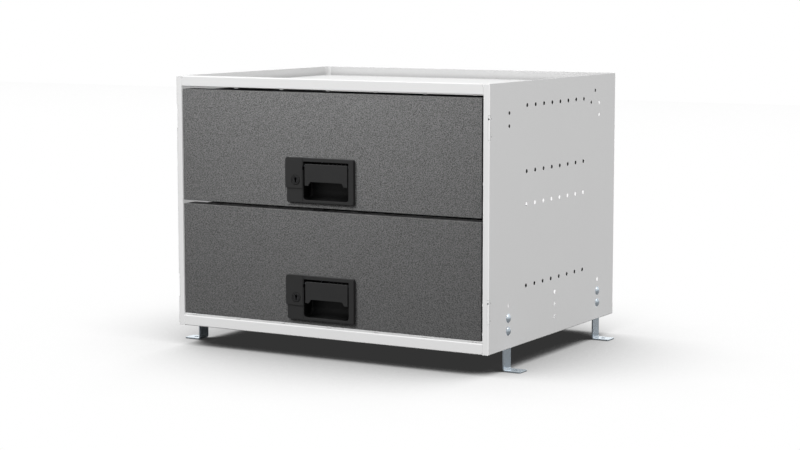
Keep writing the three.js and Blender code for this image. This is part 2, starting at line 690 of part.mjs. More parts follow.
function slideInner(centre) {
  const tip = CARRIER_FACE - 2 * MEMBER_STEP;
  const height = SLIDE_HEIGHT - 4 * MEMBER_STEP;
  return slideMember(centre, BOX_FACE, tip, height, SLIDE_FRONT, MEMBER_BACK);
}

// Drawer box, in the drawer's own frame: its z counts from the lower edge of the drawer front. The
// sides run on past the front wall to the drawer front, to which two folded tabs fasten them.
function drawerBox() {
  const wall = BOX_FACE - SHEET;
  const zs = [BOX_RISE, BOX_TOP];
  let solid = box([-BOX_FACE, BOX_FACE], [BOX_FRONT, BOX_BACK], [BOX_RISE, BOX_RISE + SHEET]);
  solid = solid.add(box([-BOX_FACE, BOX_FACE], [BOX_FRONT, BOX_FRONT + SHEET], zs));
  const backTop = BOX_RISE + BOX_BACK_HEIGHT;
  solid = solid.add(box([-BOX_FACE, BOX_FACE], [BOX_BACK - SHEET, BOX_BACK], [BOX_RISE, backTop]));
  for (const side of [-1, 1]) {
    const between = (a, b) => [side * a, side * b].sort(ascending);
    solid = solid.add(box(between(wall, BOX_FACE), [PANEL_BACK, BOX_BACK], zs));
    const hem = [BOX_TOP - BOX_HEM, BOX_TOP];
    solid = solid.add(box(between(wall - SHEET, BOX_FACE), [BOX_FRONT, BOX_BACK], hem));
    const tab = between(BOX_FACE - BOX_FRONT_TAB, BOX_FACE);
    solid = solid.add(box(tab, [PANEL_BACK, PANEL_BACK + SHEET], zs));
  }
  return solid.add(rodGuide());
}

// Folded eye on the box's front wall, through which the latch rod slides.
function rodGuide() {
  const top = BOX_TOP - ROD_GUIDE_DROP;
  const xs = [ARM_CENTRE - ROD_GUIDE_WIDTH / 2, ARM_CENTRE + ROD_GUIDE_WIDTH / 2];
  const eye = box(xs, [ROD_Y - BEND_ROOM, BOX_FRONT + HALF_SHEET], [top - SHEET, top]);
  const half = ARM_WIDTH / 2 + ROD_GUIDE_PLAY;
  return eye.subtract(
    box(
      [ARM_CENTRE - half, ARM_CENTRE + half],
      [ROD_Y - ROD_GUIDE_PLAY, ROD_Y + ROD_THICKNESS + ROD_GUIDE_PLAY],
      [top - SHEET - OVERRUN, top + OVERRUN],
    ),
  );
}

// Drawer front: a shallow tray of sheet with its four edges folded back, and a window for the
// handle. The upper return reaches back to the box and is notched round the latch catch.
function drawerFront() {
  const half = FRONT_HALF_WIDTH;
  const rear = FRONT + FRONT_TOP_RETURN;
  const returnBottom = FRONT_HEIGHT - SHEET;
  let panel = box([-half, half], [FRONT, rear], [0, FRONT_HEIGHT]);
  panel = panel.subtract(
    box([-half + SHEET, half - SHEET], [PANEL_BACK, rear + OVERRUN], [SHEET, returnBottom]),
  );
  panel = panel.subtract(
    box(
      [-half - OVERRUN, half + OVERRUN],
      [FRONT + FRONT_RETURN, rear + OVERRUN],
      [-OVERRUN, returnBottom],
    ),
  );
  const notchHalf = CATCH_WIDTH / 2 + CATCH_NOTCH_PLAY;
  panel = panel.subtract(
    box(
      [ARM_CENTRE - notchHalf, ARM_CENTRE + notchHalf],
      [FRONT + MIDDLE_RAIL_INSET - CATCH_NOTCH_PLAY, rear + OVERRUN],
      [returnBottom - OVERRUN, FRONT_HEIGHT + OVERRUN],
    ),
  );
  for (const [x, inward] of [[-half, 1], [half, -1]]) {
    panel = panel.subtract(
      edgeCutter("z", x, FRONT, inward, 1, SHEET, -OVERRUN, FRONT_HEIGHT + OVERRUN),
    );
  }
  for (const [z, inward] of [[0, 1], [FRONT_HEIGHT, -1]]) {
    panel = panel.subtract(
      edgeCutter("x", FRONT, z, 1, inward, SHEET, -half - OVERRUN, half + OVERRUN),
    );
  }
  return panel.subtract(
    box(
      [HANDLE_LEFT + HANDLE_LAP, HANDLE_RIGHT - HANDLE_LAP],
      [FRONT - OVERRUN, PANEL_BACK + OVERRUN],
      [HANDLE_RISE + HANDLE_LAP, HANDLE_TOP - HANDLE_LAP],
    ),
  );
}

// The space of the finger cup, grown by a wall: its outline seen from the front, and its profile
// seen from the side, whose lower back corner is a wide scoop.
function cupSpace(wall, from) {
  const outline = roundedRectangle(
    CUP_LEFT - wall,
    CUP_RIGHT + wall,
    CUP_BOTTOM - wall,
    CUP_TOP + wall,
    CUP_CORNER + wall,
    CUP_UPPER_CORNER + wall,
  );
  const back = CUP_BACK + wall;
  const low = CUP_BOTTOM - wall;
  const scoop = CUP_SCOOP + wall;
  const profile = new THREE.Shape()
    .moveTo(from, low)
    .lineTo(back - scoop, low)
    .absarc(back - scoop, low + scoop, scoop, -Math.PI / 2, 0)
    .lineTo(back, CUP_TOP + wall)
    .lineTo(from, CUP_TOP + wall);
  const seenFromFront = extrude(outline, "y", from, back);
  const [left, right] = [CUP_LEFT - wall - OVERRUN, CUP_RIGHT + wall + OVERRUN];
  const seenFromSide = extrude(profile, "x", left, right, 2 * CORNER_STEPS);
  return seenFromFront.intersect(seenFromSide);
}

// Handle housing: a hollow plate that stands on the drawer front, with the finger cup and the boss
// of the lock behind it.
function handleHousing() {
  const plate = (inset, from, to) =>
    extrude(
      roundedRectangle(
        HANDLE_LEFT + inset,
        HANDLE_RIGHT - inset,
        HANDLE_RISE + inset,
        HANDLE_TOP - inset,
        HANDLE_CORNER - inset / 2,
        HANDLE_CORNER - inset / 2,
      ),
      "y",
      from,
      to,
    );
  const bossRadius = LOCK_SHAFT_RADIUS + LOCK_SHAFT_PLAY + LOCK_BOSS_WALL;
  const bossBack = HANDLE_FACE + LOCK_BOSS_DEPTH;
  let housing = plate(0, HANDLE_FACE, FRONT);
  housing = housing.subtract(plate(HANDLE_WALL, HANDLE_FACE + HANDLE_WALL, FRONT + OVERRUN));
  housing = housing.add(cupSpace(CUP_WALL, HANDLE_FACE + HALF_SHEET));
  housing = housing.add(
    bar("y", LOCK_CENTRE, LOCK_RISE, bossRadius, HANDLE_FACE + HALF_SHEET, bossBack, FINE_SIDES),
  );
  housing = housing.subtract(cupSpace(0, HANDLE_FACE - OVERRUN));
  const shaftHole = LOCK_SHAFT_RADIUS + LOCK_SHAFT_PLAY;
  housing = housing.subtract(
    bar("y", LOCK_CENTRE, LOCK_RISE, shaftHole, HANDLE_FACE - OVERRUN, bossBack + OVERRUN, FINE_SIDES),
  );
  const pinHole = PIN_RADIUS + PIN_CLEARANCE;
  const outside = [CUP_LEFT - CUP_WALL - OVERRUN, CUP_RIGHT + CUP_WALL + OVERRUN];
  housing = housing.subtract(bar("x", PIVOT_Y, PIVOT_Z, pinHole, ...outside));
  const armHalf = ARM_WIDTH / 2 + ROD_WINDOW_SIDE;
  housing = housing.subtract(
    box(
      [ARM_CENTRE - armHalf, ARM_CENTRE + armHalf],
      [CUP_BACK - OVERRUN, CUP_BACK + CUP_WALL + OVERRUN],
      [PIVOT_Z - ARM_SLOT_DROP, PIVOT_Z + ARM_SLOT_RISE],
    ),
  );
  const notchZ = CUP_BOTTOM + CUP_NOTCH_RISE;
  return housing.subtract(
    box(
      [CUP_LEFT - CUP_NOTCH_WIDTH, CUP_LEFT + OVERRUN],
      [HANDLE_FACE - OVERRUN, HANDLE_FACE + CUP_NOTCH_DEPTH],
      [notchZ, notchZ + CUP_NOTCH_HEIGHT],
    ),
  );
}

// Raised cover on the left of the handle plate, with the opening of the lock.
function lockCover() {
  const left = HANDLE_LEFT - LOCK_COVER_OVERHANG;
  const outline = roundedRectangle(
    left,
    left + LOCK_COVER_WIDTH,
    LOCK_COVER_RISE,
    HANDLE_TOP,
    LOCK_COVER_CORNER / 2,
    LOCK_COVER_CORNER,
  );
  const cover = extrude(outline, "y", COVER_FACE, HANDLE_FACE);
  const hole = LOCK_FACE_RADIUS + LOCK_FACE_PLAY;
  return cover.subtract(
    bar("y", LOCK_CENTRE, LOCK_RISE, hole, COVER_FACE - OVERRUN, HANDLE_FACE + OVERRUN, FINE_SIDES),
  );
}

// Lock barrel: a wide face in the cover's opening, and a sleeve in the housing's boss.
function lockBarrel() {
  const shoulder = HANDLE_FACE - SEAM;
  const sleeveEnd = HANDLE_FACE + LOCK_BOSS_DEPTH + LOCK_FACE_PROUD;
  const round = (radius, from, to) => bar("y", LOCK_CENTRE, LOCK_RISE, radius, from, to, FINE_SIDES);
  const barrel = round(LOCK_FACE_RADIUS, LOCK_FACE, shoulder).add(
    round(LOCK_SHAFT_RADIUS, shoulder - HALF_SHEET, sleeveEnd),
  );
  return barrel.subtract(round(PLUG_RADIUS + PLUG_PLAY, LOCK_FACE - OVERRUN, sleeveEnd + OVERRUN));
}

// Lock plug with its keyway, and with the cam on its tail. The cam points down when the lock is
// open, and lies under the latch rod when it is locked.
function lockPlug() {
  const camBack = CAM_FRONT + CAM_THICKNESS;
  let plug = bar("y", LOCK_CENTRE, LOCK_RISE, PLUG_RADIUS, LOCK_FACE, camBack, FINE_SIDES);
  plug = plug.subtract(
    box(
      [LOCK_CENTRE - KEYWAY_WIDTH / 2, LOCK_CENTRE + KEYWAY_WIDTH / 2],
      [LOCK_FACE - OVERRUN, LOCK_FACE + KEYWAY_DEPTH],
      [LOCK_RISE - KEYWAY_HEIGHT / 2, LOCK_RISE + KEYWAY_HEIGHT / 2],
    ),
  );
  return plug.add(
    box(
      [LOCK_CENTRE - CAM_WIDTH / 2, LOCK_CENTRE + CAM_WIDTH / 2],
      [CAM_FRONT, camBack],
      [LOCK_RISE - CAM_LENGTH, LOCK_RISE],
    ),
  );
}

// Paddle: a plate with two ears, a grip folded back at its lower edge, a hub round the pin and an
// arm that reaches back through the cup to the latch rod.
function paddle() {
  const left = CUP_LEFT + PADDLE_PLAY;
  const right = CUP_RIGHT - PADDLE_PLAY;
  const bottom = PADDLE_TOP - PADDLE_HEIGHT;
  const earBottom = bottom - PADDLE_EAR_DROP;
  const slant = PADDLE_EAR_WIDTH + PADDLE_EAR_SLANT;
  const outline = new THREE.Shape()
    .moveTo(left, PADDLE_TOP)
    .lineTo(left, earBottom)
    .lineTo(left + PADDLE_EAR_WIDTH, earBottom)
    .lineTo(left + slant, bottom)
    .lineTo(right - slant, bottom)
    .lineTo(right - PADDLE_EAR_WIDTH, earBottom)
    .lineTo(right, earBottom)
    .lineTo(right, PADDLE_TOP);
  const plateBack = PADDLE_FACE + PADDLE_THICKNESS;
  let solid = extrude(outline, "y", PADDLE_FACE, plateBack);
  solid = solid.add(
    box(
      [left + slant, right - slant],
      [plateBack - HALF_SHEET, plateBack + PADDLE_GRIP_DEPTH],
      [bottom, bottom + PADDLE_GRIP_THICKNESS],
    ),
  );
  solid = solid.add(bar("x", PIVOT_Y, PIVOT_Z, PADDLE_HUB_RADIUS, left, right, HOLE_SIDES));
  const ribCentre = CUP_RIGHT - HUB_RIB_INSET - (HUB_RIB_PITCH * (HUB_RIB_COUNT - 1)) / 2;
  for (const offset of spaced(HUB_RIB_COUNT, HUB_RIB_PITCH)) {
    const x = ribCentre + offset;
    solid = solid.add(
      box(
        [x - HUB_RIB_WIDTH / 2, x + HUB_RIB_WIDTH / 2],
        [PADDLE_FACE + HUB_RIB_RISE, PIVOT_Y],
        [PIVOT_Z, PADDLE_TOP + HUB_RIB_RISE],
      ),
    );
  }
  const pocket = [
    SPRING_CENTRE - SPRING_POCKET_LENGTH / 2,
    SPRING_CENTRE + SPRING_POCKET_LENGTH / 2,
  ];
  solid = solid.subtract(bar("x", PIVOT_Y, PIVOT_Z, SPRING_POCKET_RADIUS, ...pocket, HOLE_SIDES));
  solid = solid.add(
    box(
      [ARM_CENTRE - ARM_WIDTH / 2, ARM_CENTRE + ARM_WIDTH / 2],
      [PIVOT_Y, PIVOT_Y + ARM_LENGTH],
      [PIVOT_Z - ARM_HEIGHT / 2, PIVOT_Z + ARM_HEIGHT / 2],
    ),
  );
  const hole = PIN_RADIUS + PIN_CLEARANCE;
  return solid.subtract(bar("x", PIVOT_Y, PIVOT_Z, hole, left - OVERRUN, right + OVERRUN));
}

// Pin of the paddle, held in the two side walls of the cup.
function paddlePin() {
  return bar("x", PIVOT_Y, PIVOT_Z, PIN_RADIUS, CUP_LEFT - CUP_WALL, CUP_RIGHT + CUP_WALL);
}

// Torsion spring round the pin: a helix with a straight leg at each end. The first leg rises back to
// the top of the cup, and the last one falls forward to the back of the paddle.
function springPoints() {
  const steps = Math.round(SPRING_TURNS * SPRING_STEPS_PER_TURN);
  const start = SPRING_CENTRE - (SPRING_TURNS * SPRING_PITCH) / 2;
  const points = [];
  for (let k = 0; k <= steps; k += 1) {
    const turn = k / SPRING_STEPS_PER_TURN;
    const angle = Math.PI / 2 + 2 * Math.PI * turn;
    points.push(
      new THREE.Vector3(
        start + SPRING_PITCH * turn,
        PIVOT_Y - SPRING_RADIUS * Math.cos(angle),
        PIVOT_Z + SPRING_RADIUS * Math.sin(angle),
      ),
    );
  }
  const reach = SPRING_WIRE_RADIUS + SPRING_LEG_PLAY;
  const first = points[0];
  const last = points.at(-1);
  points.unshift(new THREE.Vector3(first.x, first.y + SPRING_LEG, CUP_TOP - reach));
  const plateBack = PADDLE_FACE + PADDLE_THICKNESS;
  points.push(new THREE.Vector3(last.x, plateBack + reach, last.z - SPRING_LEG));
  return points;
}

// The least distance between two stretches of the wire that aren't neighbours, less its thickness.
function leastGap(points, apart) {
  let least = Infinity;
  for (let i = 0; i < points.length; i += 1) {
    for (let j = i + apart; j < points.length; j += 1) {
      least = Math.min(least, points[i].distanceTo(points[j]));
    }
  }
  return least - 2 * SPRING_WIRE_RADIUS;
}

// A closed tube of few sides along a line of points, as rings that are joined and capped.
function wire(points) {
  const positions = [];
  const index = [];
  const side = new THREE.Vector3();
  const up = new THREE.Vector3();
  points.forEach((point, i) => {
    const before = points[Math.max(i - 1, 0)];
    const after = points[Math.min(i + 1, points.length - 1)];
    const along = after.clone().sub(before).normalize();
    side.set(1, 0, 0).addScaledVector(along, -along.x).normalize();
    up.crossVectors(along, side);
    for (let k = 0; k < SPRING_SIDES; k += 1) {
      const angle = (2 * Math.PI * k) / SPRING_SIDES;
      const spoke = side.clone().multiplyScalar(Math.cos(angle)).addScaledVector(up, Math.sin(angle));
      positions.push(...point.clone().addScaledVector(spoke, SPRING_WIRE_RADIUS).toArray());
    }
  });
  for (let i = 0; i < points.length - 1; i += 1) {
    for (let k = 0; k < SPRING_SIDES; k += 1) {
      const a = i * SPRING_SIDES + k;
      const b = i * SPRING_SIDES + ((k + 1) % SPRING_SIDES);
      index.push(a, b, b + SPRING_SIDES, a, b + SPRING_SIDES, a + SPRING_SIDES);
    }
  }
  const end = (points.length - 1) * SPRING_SIDES;
  for (let k = 1; k < SPRING_SIDES - 1; k += 1) {
    index.push(0, k + 1, k);
    index.push(end, end + k, end + k + 1);
  }
  const geometry = new THREE.BufferGeometry();
  geometry.setAttribute("position", new THREE.Float32BufferAttribute(positions, 3));
  geometry.setIndex(index);
  return solidOf(geometry);
}

// Latch rod: a flat bar with a window for the paddle's arm. The arm pushes it down, away from its
// catch.
function latchRod() {
  const half = ARM_WIDTH / 2;
  const ys = [ROD_Y, ROD_Y + ROD_THICKNESS];
  const side = half + ROD_WINDOW_SIDE;
  const cheek = side + ROD_HEAD_WALL / 2;
  const window = [PIVOT_Z - ROD_WINDOW_DROP, PIVOT_Z + ROD_WINDOW_RISE];
  const shank = box([ARM_CENTRE - half, ARM_CENTRE + half], ys, [ROD_FOOT, ROD_TOP]);
  const head = box(
    [ARM_CENTRE - cheek, ARM_CENTRE + cheek],
    ys,
    [ROD_FOOT, window[1] + ROD_HEAD_WALL],
  );
  return shank.add(head).subtract(
    box([ARM_CENTRE - side, ARM_CENTRE + side], [ys[0] - OVERRUN, ys[1] + OVERRUN], window),
  );
}

const cabinet = new THREE.Group();
cabinet.position.set(0, -(LOCK_FACE + BACK) / 2, FOOT_DROP);

// Carcass
addPiece(cabinet, "top_tray", pan(false), pearlWhite());
const base = new THREE.Group();
base.position.z = CARCASS_HEIGHT;
base.scale.z = -1;
cabinet.add(base);
addPiece(base, "base_pan", pan(true), pearlWhite());
addPiece(cabinet, "middle_rail", middleRail(), pearlWhite());
const lowerCatch = latchCatch(UPPER_DRAWER + MIDDLE_RAIL_RISE, LOWER_DRAWER);
addPiece(cabinet, "latch_catch_lower", lowerCatch, blackZinc());
addPiece(cabinet, "latch_catch_upper", latchCatch(PAN_FLOOR, UPPER_DRAWER), blackZinc());

// The pieces that come in pairs, one for each side: the left side is the right one mirrored.
const levels = [["lower", LOWER_DRAWER], ["upper", UPPER_DRAWER]];
for (const [side, mirror] of [["right", 1], ["left", -1]]) {
  const half = new THREE.Group();
  half.scale.x = mirror;
  cabinet.add(half);
  addPiece(half, `side_panel_${side}`, sidePanel(), pearlWhite());
  for (const [place, y] of [["front", FOOT_PLACES[0]], ["rear", FOOT_PLACES[1]]]) {
    const foot = new THREE.Group();
    foot.position.y = y;
    half.add(foot);
    addPiece(foot, `foot_bracket_${place}_${side}`, footBracket(), zincPlate());
    addPiece(foot, `nut_plate_${place}_${side}`, nutPlate(), zincPlate());
    for (const [rank, z] of [["lower", BOLT_HEIGHTS[0]], ["upper", BOLT_HEIGHTS[1]]]) {
      const bolt = addPiece(foot, `foot_bolt_${place}_${side}_${rank}`, footBolt(), zincPlate());
      bolt.position.z = z;
    }
  }
  for (const [level, bottom] of levels) {
    const centre = bottom + SLIDE_RISE;
    addPiece(half, `slide_carrier_${level}_${side}`, slideCarrier(centre), graphiteTexture());
    addPiece(half, `slide_outer_${level}_${side}`, slideOuter(centre), zincPlate());
    addPiece(half, `slide_middle_${level}_${side}`, slideMiddle(centre), zincPlate());
    addPiece(half, `slide_inner_${level}_${side}`, slideInner(centre), zincPlate());
  }
}

// Drawers
const spring = springPoints();
const springGap = leastGap(spring, SPRING_STEPS_PER_TURN - 1);
console.log(`least gap of the spring to itself: ${springGap.toFixed(2)} mm`);
for (const [level, bottom] of levels) {
  const drawer = new THREE.Group();
  drawer.position.z = bottom;
  cabinet.add(drawer);
  addPiece(drawer, `drawer_box_${level}`, drawerBox(), graphiteTexture());
  addPiece(drawer, `drawer_front_${level}`, drawerFront(), graphiteTexture());
  addPiece(drawer, `handle_housing_${level}`, handleHousing(), blackPlastic());
  addPiece(drawer, `lock_cover_${level}`, lockCover(), blackPlastic());
  addPiece(drawer, `lock_barrel_${level}`, lockBarrel(), blackPlastic());
  addPiece(drawer, `lock_plug_${level}`, lockPlug(), blackZinc());
  addPiece(drawer, `paddle_${level}`, paddle(), blackPlastic());
  addPiece(drawer, `paddle_pin_${level}`, paddlePin(), zincPlate());
  addPiece(drawer, `paddle_spring_${level}`, wire(spring), springWire());
  addPiece(drawer, `latch_rod_${level}`, latchRod(), zincPlate());
}

export default cabinet;
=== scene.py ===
"""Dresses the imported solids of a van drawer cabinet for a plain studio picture.

Shapes are worked out in millimetres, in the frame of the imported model, and take their places from
its nodes. The front faces -Y and +Z is up.
"""

import json
import math

import bpy
import numpy as np
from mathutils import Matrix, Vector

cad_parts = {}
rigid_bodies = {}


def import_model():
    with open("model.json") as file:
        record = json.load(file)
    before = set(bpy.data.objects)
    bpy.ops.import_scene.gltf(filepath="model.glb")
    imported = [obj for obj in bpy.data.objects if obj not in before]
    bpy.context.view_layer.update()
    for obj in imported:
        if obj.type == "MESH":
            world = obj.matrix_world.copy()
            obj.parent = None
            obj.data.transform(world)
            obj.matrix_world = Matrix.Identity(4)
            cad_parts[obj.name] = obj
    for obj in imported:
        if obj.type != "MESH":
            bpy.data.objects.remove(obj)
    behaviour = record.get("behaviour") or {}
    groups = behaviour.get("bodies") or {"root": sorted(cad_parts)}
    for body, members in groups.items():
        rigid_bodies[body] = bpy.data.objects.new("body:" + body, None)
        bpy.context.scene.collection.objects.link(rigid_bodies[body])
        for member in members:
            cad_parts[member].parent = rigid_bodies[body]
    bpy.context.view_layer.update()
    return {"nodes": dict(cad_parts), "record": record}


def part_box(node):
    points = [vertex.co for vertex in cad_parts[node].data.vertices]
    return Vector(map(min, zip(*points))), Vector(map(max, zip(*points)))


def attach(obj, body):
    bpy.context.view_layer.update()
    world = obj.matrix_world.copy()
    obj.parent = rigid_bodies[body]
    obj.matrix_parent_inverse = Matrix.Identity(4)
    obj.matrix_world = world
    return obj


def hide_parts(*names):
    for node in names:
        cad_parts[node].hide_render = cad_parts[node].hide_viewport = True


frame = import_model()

bl_info = {
    "name": "Van drawer cabinet",
    "version": (1, 0, 0),
    "blender": (4, 5, 0),
    "location": "3D View > Sidebar > Cabinet",
    "description": "Builds the sheet-metal, handle and stage pieces of a van drawer cabinet",
    "category": "Object",
}

MM = 1000.0
SHEET = 1.5
HALF_SHEET = SHEET / 2
MIDDLE_BEND = 1.25
OVERRUN = 1.0
LEAST = 0.02
LEVELS = ("lower", "upper")
PLACES = ("front", "rear")

RECORD = frame["record"]
SLOTS = {part["node"]: part["material_slot"] for part in RECORD["subparts"]}
BODIES = {node: body for body, nodes in RECORD["behaviour"]["bodies"].items() for node in nodes}


# ---------------------------------------------------------------- shapes


def span(node):
    """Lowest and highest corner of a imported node, in millimetres."""
    low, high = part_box(node)
    return np.array(low) * MM, np.array(high) * MM


def middle(node):
    """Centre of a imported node's box, in millimetres."""
    low, high = span(node)
    return (low + high) / 2


def about(centre, reach):
    """The two values at a distance from a centre."""
    return centre - reach, centre + reach


class Shape:
    """A closed surface: points in millimetres, and faces as a flat list of corners with sizes."""

    def __init__(self, points, corners, sizes):
        self.points = np.asarray(points, float)
        self.corners = np.asarray(corners, int)
        self.sizes = np.asarray(sizes, int)

    @property
    def starts(self):
        return np.concatenate([[0], np.cumsum(self.sizes)[:-1]])

    def volume(self):
        """Sum over each face's fan of triangles of the box product of its corners, over six."""
        first = np.repeat(self.corners[self.starts], self.sizes)
        following = np.roll(self.corners, -1)
        following[self.starts + self.sizes - 1] = self.corners[self.starts]
        first, here, there = (self.points[at] for at in (first, self.corners, following))
        return float(np.einsum("ij,ij->i", first, np.cross(here, there)).sum() / 6)

    def flipped(self):
        """The same points with each face's corners in the opposite order."""
        ends = np.repeat(2 * self.starts + self.sizes - 1, self.sizes)
        return Shape(self.points, self.corners[ends - np.arange(len(ends))], self.sizes)

    def outward(self):
        return self if self.volume() > 0 else self.flipped()

    def moved(self, x=0.0, y=0.0, z=0.0):
        return Shape(self.points + (x, y, z), self.corners, self.sizes)

    def mirrored(self, axis, about=0.0):
        """Each coordinate along the axis becomes twice the mirror's place less itself."""
        points = self.points.copy()
        points[:, axis] = 2 * about - points[:, axis]
        return Shape(points, self.corners, self.sizes).flipped()

    def mesh(self, name, scale=1.0):
        """A new mesh with these points and faces."""
        mesh = bpy.data.meshes.new(name)
        mesh.vertices.add(len(self.points))
        mesh.vertices.foreach_set("co", (self.points * scale).astype(np.float32).ravel())
        mesh.loops.add(len(self.corners))
        mesh.loops.foreach_set("vertex_index", self.corners.astype(np.int32))
        mesh.polygons.add(len(self.sizes))
        mesh.polygons.foreach_set("loop_start", self.starts.astype(np.int32))
        mesh.update(calc_edges=True)
        mesh.validate()
        return mesh


def read_shape(mesh):
    """The points and faces of a mesh as a shape."""

    def read(items, key, width=1, kind=np.int32):
        values = np.empty(len(items) * width, kind)
        items.foreach_get(key, values)
        return values

    points = read(mesh.vertices, "co", 3, np.float32).reshape(-1, 3)
    return Shape(points, read(mesh.loops, "vertex_index"), read(mesh.polygons, "loop_total"))


def together(shapes):
    """Several shapes as one, without joining their surfaces."""
    shapes = list(shapes)
    offsets = np.cumsum([0] + [len(shape.points) for shape in shapes[:-1]])
    return Shape(
        np.concatenate([shape.points for shape in shapes]),
        np.concatenate([shape.corners + offset for shape, offset in zip(shapes, offsets)]),
        np.concatenate([shape.sizes for shape in shapes]),
    )


def carved(base, adds=(), cuts=()):
    """Joins closed shapes to a base, cuts others from it, and gives the resulting surface."""

    def temporary(shape):
        made = bpy.data.objects.new("carving", shape.mesh("carving"))
        bpy.context.scene.collection.objects.link(made)
        return made

    target = temporary(base)
    made = [target]
    for operation, shapes in (("UNION", adds), ("DIFFERENCE", cuts)):
        for tool in map(temporary, shapes):
            made.append(tool)
            step = target.modifiers.new("carve", "BOOLEAN")
            step.solver, step.operation, step.object = "MANIFOLD", operation, tool
    graph = bpy.context.evaluated_depsgraph_get()
    result = bpy.data.meshes.new_from_object(target.evaluated_get(graph))
    shape = read_shape(result)
    bpy.data.batch_remove([result, *(thing.data for thing in made), *made])
    if not len(shape.sizes):
        raise RuntimeError("a carving left nothing")
    return shape


def loft(loops, ring=False):
    """Skin over n closed loops of k points: each point joins its neighbours in its own loop and
    the same point of the next one. The ends are capped, or joined to each other for a ring."""
    loops = np.asarray(loops, float)
    count, around, _ = loops.shape
    index = np.arange(count * around).reshape(count, around)
    here = index if ring else index[:-1]
    there = np.roll(index, -1, axis=0) if ring else index[1:]
    quads = np.stack([here, np.roll(here, -1, 1), np.roll(there, -1, 1), there], axis=-1)
    corners = quads.reshape(-1)
    sizes = np.full(len(corners) // 4, 4)
    if not ring:
        corners = np.concatenate([corners, index[0][::-1], index[-1]])
        sizes = np.concatenate([sizes, [around, around]])
    return Shape(loops.reshape(-1, 3), corners, sizes).outward()


COLUMNS = {"x": (1, 2, 0), "y": (0, 2, 1), "z": (0, 1, 2)}


def place_loop(flat, axis, along):
    """Puts a flat (u, v) loop at a place along an axis."""
    loop = np.empty((len(flat), 3))
    u, v, w = COLUMNS[axis]
    loop[:, u], loop[:, v], loop[:, w] = flat[:, 0], flat[:, 1], along
    return loop


def quarter_turn(radius, steps=4):
    """Inset r(1 - sin t) and advance r(1 - cos t) for t from 0 to a quarter turn."""
    if radius <= 0:
        return np.zeros(1), np.zeros(1)
    turn = np.linspace(0, math.pi / 2, steps + 1)
    return radius * (1 - np.sin(turn)), radius * (1 - np.cos(turn))


def prism(outline, axis, start, stop, soft_start=0.0, soft_stop=0.0, steps=4):
    """Carries an outline straight along an axis. Near a soft end the outline shrinks and advances
    as a quarter circle, which rounds the edge. The outline is a function of its inset."""
    inset_a, advance_a = quarter_turn(soft_start, steps)
    inset_b, advance_b = quarter_turn(soft_stop, steps)
    insets = np.concatenate([inset_a, inset_b[::-1]])
    places = np.concatenate([start + advance_a, (stop - advance_b)[::-1]])
    return loft([place_loop(outline(inset), axis, at) for inset, at in zip(insets, places)])


def rounded(corners, radii, steps=4):
    """Outline of a polygon with rounded corners, as a function of its inset. Each corner is an arc
    about a fixed centre, whose radius falls with the inset where the corner points outwards and
    grows with it where the corner points inwards."""
    corners = np.asarray(corners, float)
    radii = np.broadcast_to(np.asarray(radii, float), (len(corners),))
    before = corners - np.roll(corners, 1, 0)
    before /= np.linalg.norm(before, axis=1)[:, None]
    after = np.roll(before, -1, 0)
    turn = np.arctan2(
        before[:, 0] * after[:, 1] - before[:, 1] * after[:, 0], (before * after).sum(1)
    )
    sign = np.sign(turn)
    normal = np.stack([-before[:, 1], before[:, 0]], 1)
    begin = corners - before * (radii * np.tan(np.abs(turn) / 2))[:, None]
    centre = begin + normal * (radii * sign)[:, None]
    first = np.arctan2(-normal[:, 1] * sign, -normal[:, 0] * sign)
    angles = first[:, None] + turn[:, None] * np.linspace(0, 1, steps + 1)

    def outline(inset=0.0):
        reach = np.maximum(radii - sign * inset, LEAST)[:, None]
        u = centre[:, :1] + reach * np.cos(angles)
        v = centre[:, 1:] + reach * np.sin(angles)
        return np.stack([u.ravel(), v.ravel()], 1)

    return outline


def rectangle(left, right, low, high, radii=LEAST, steps=4):
    """Rounded rectangle. Radii run from the lower left corner counter-clockwise."""
    return rounded([(left, low), (right, low), (right, high), (left, high)], radii, steps)


def slab(xs, ys, zs, soft=0.0, axis="y", corner=None):
    """Box between two values on each axis, with rounded edges."""
    spans = (sorted(xs), sorted(ys), sorted(zs))
    u, v, w = COLUMNS[axis]
    outline = rectangle(*spans[u], *spans[v], soft + LEAST if corner is None else corner, 2)
    return prism(outline, axis, *spans[w], soft, soft, 2)


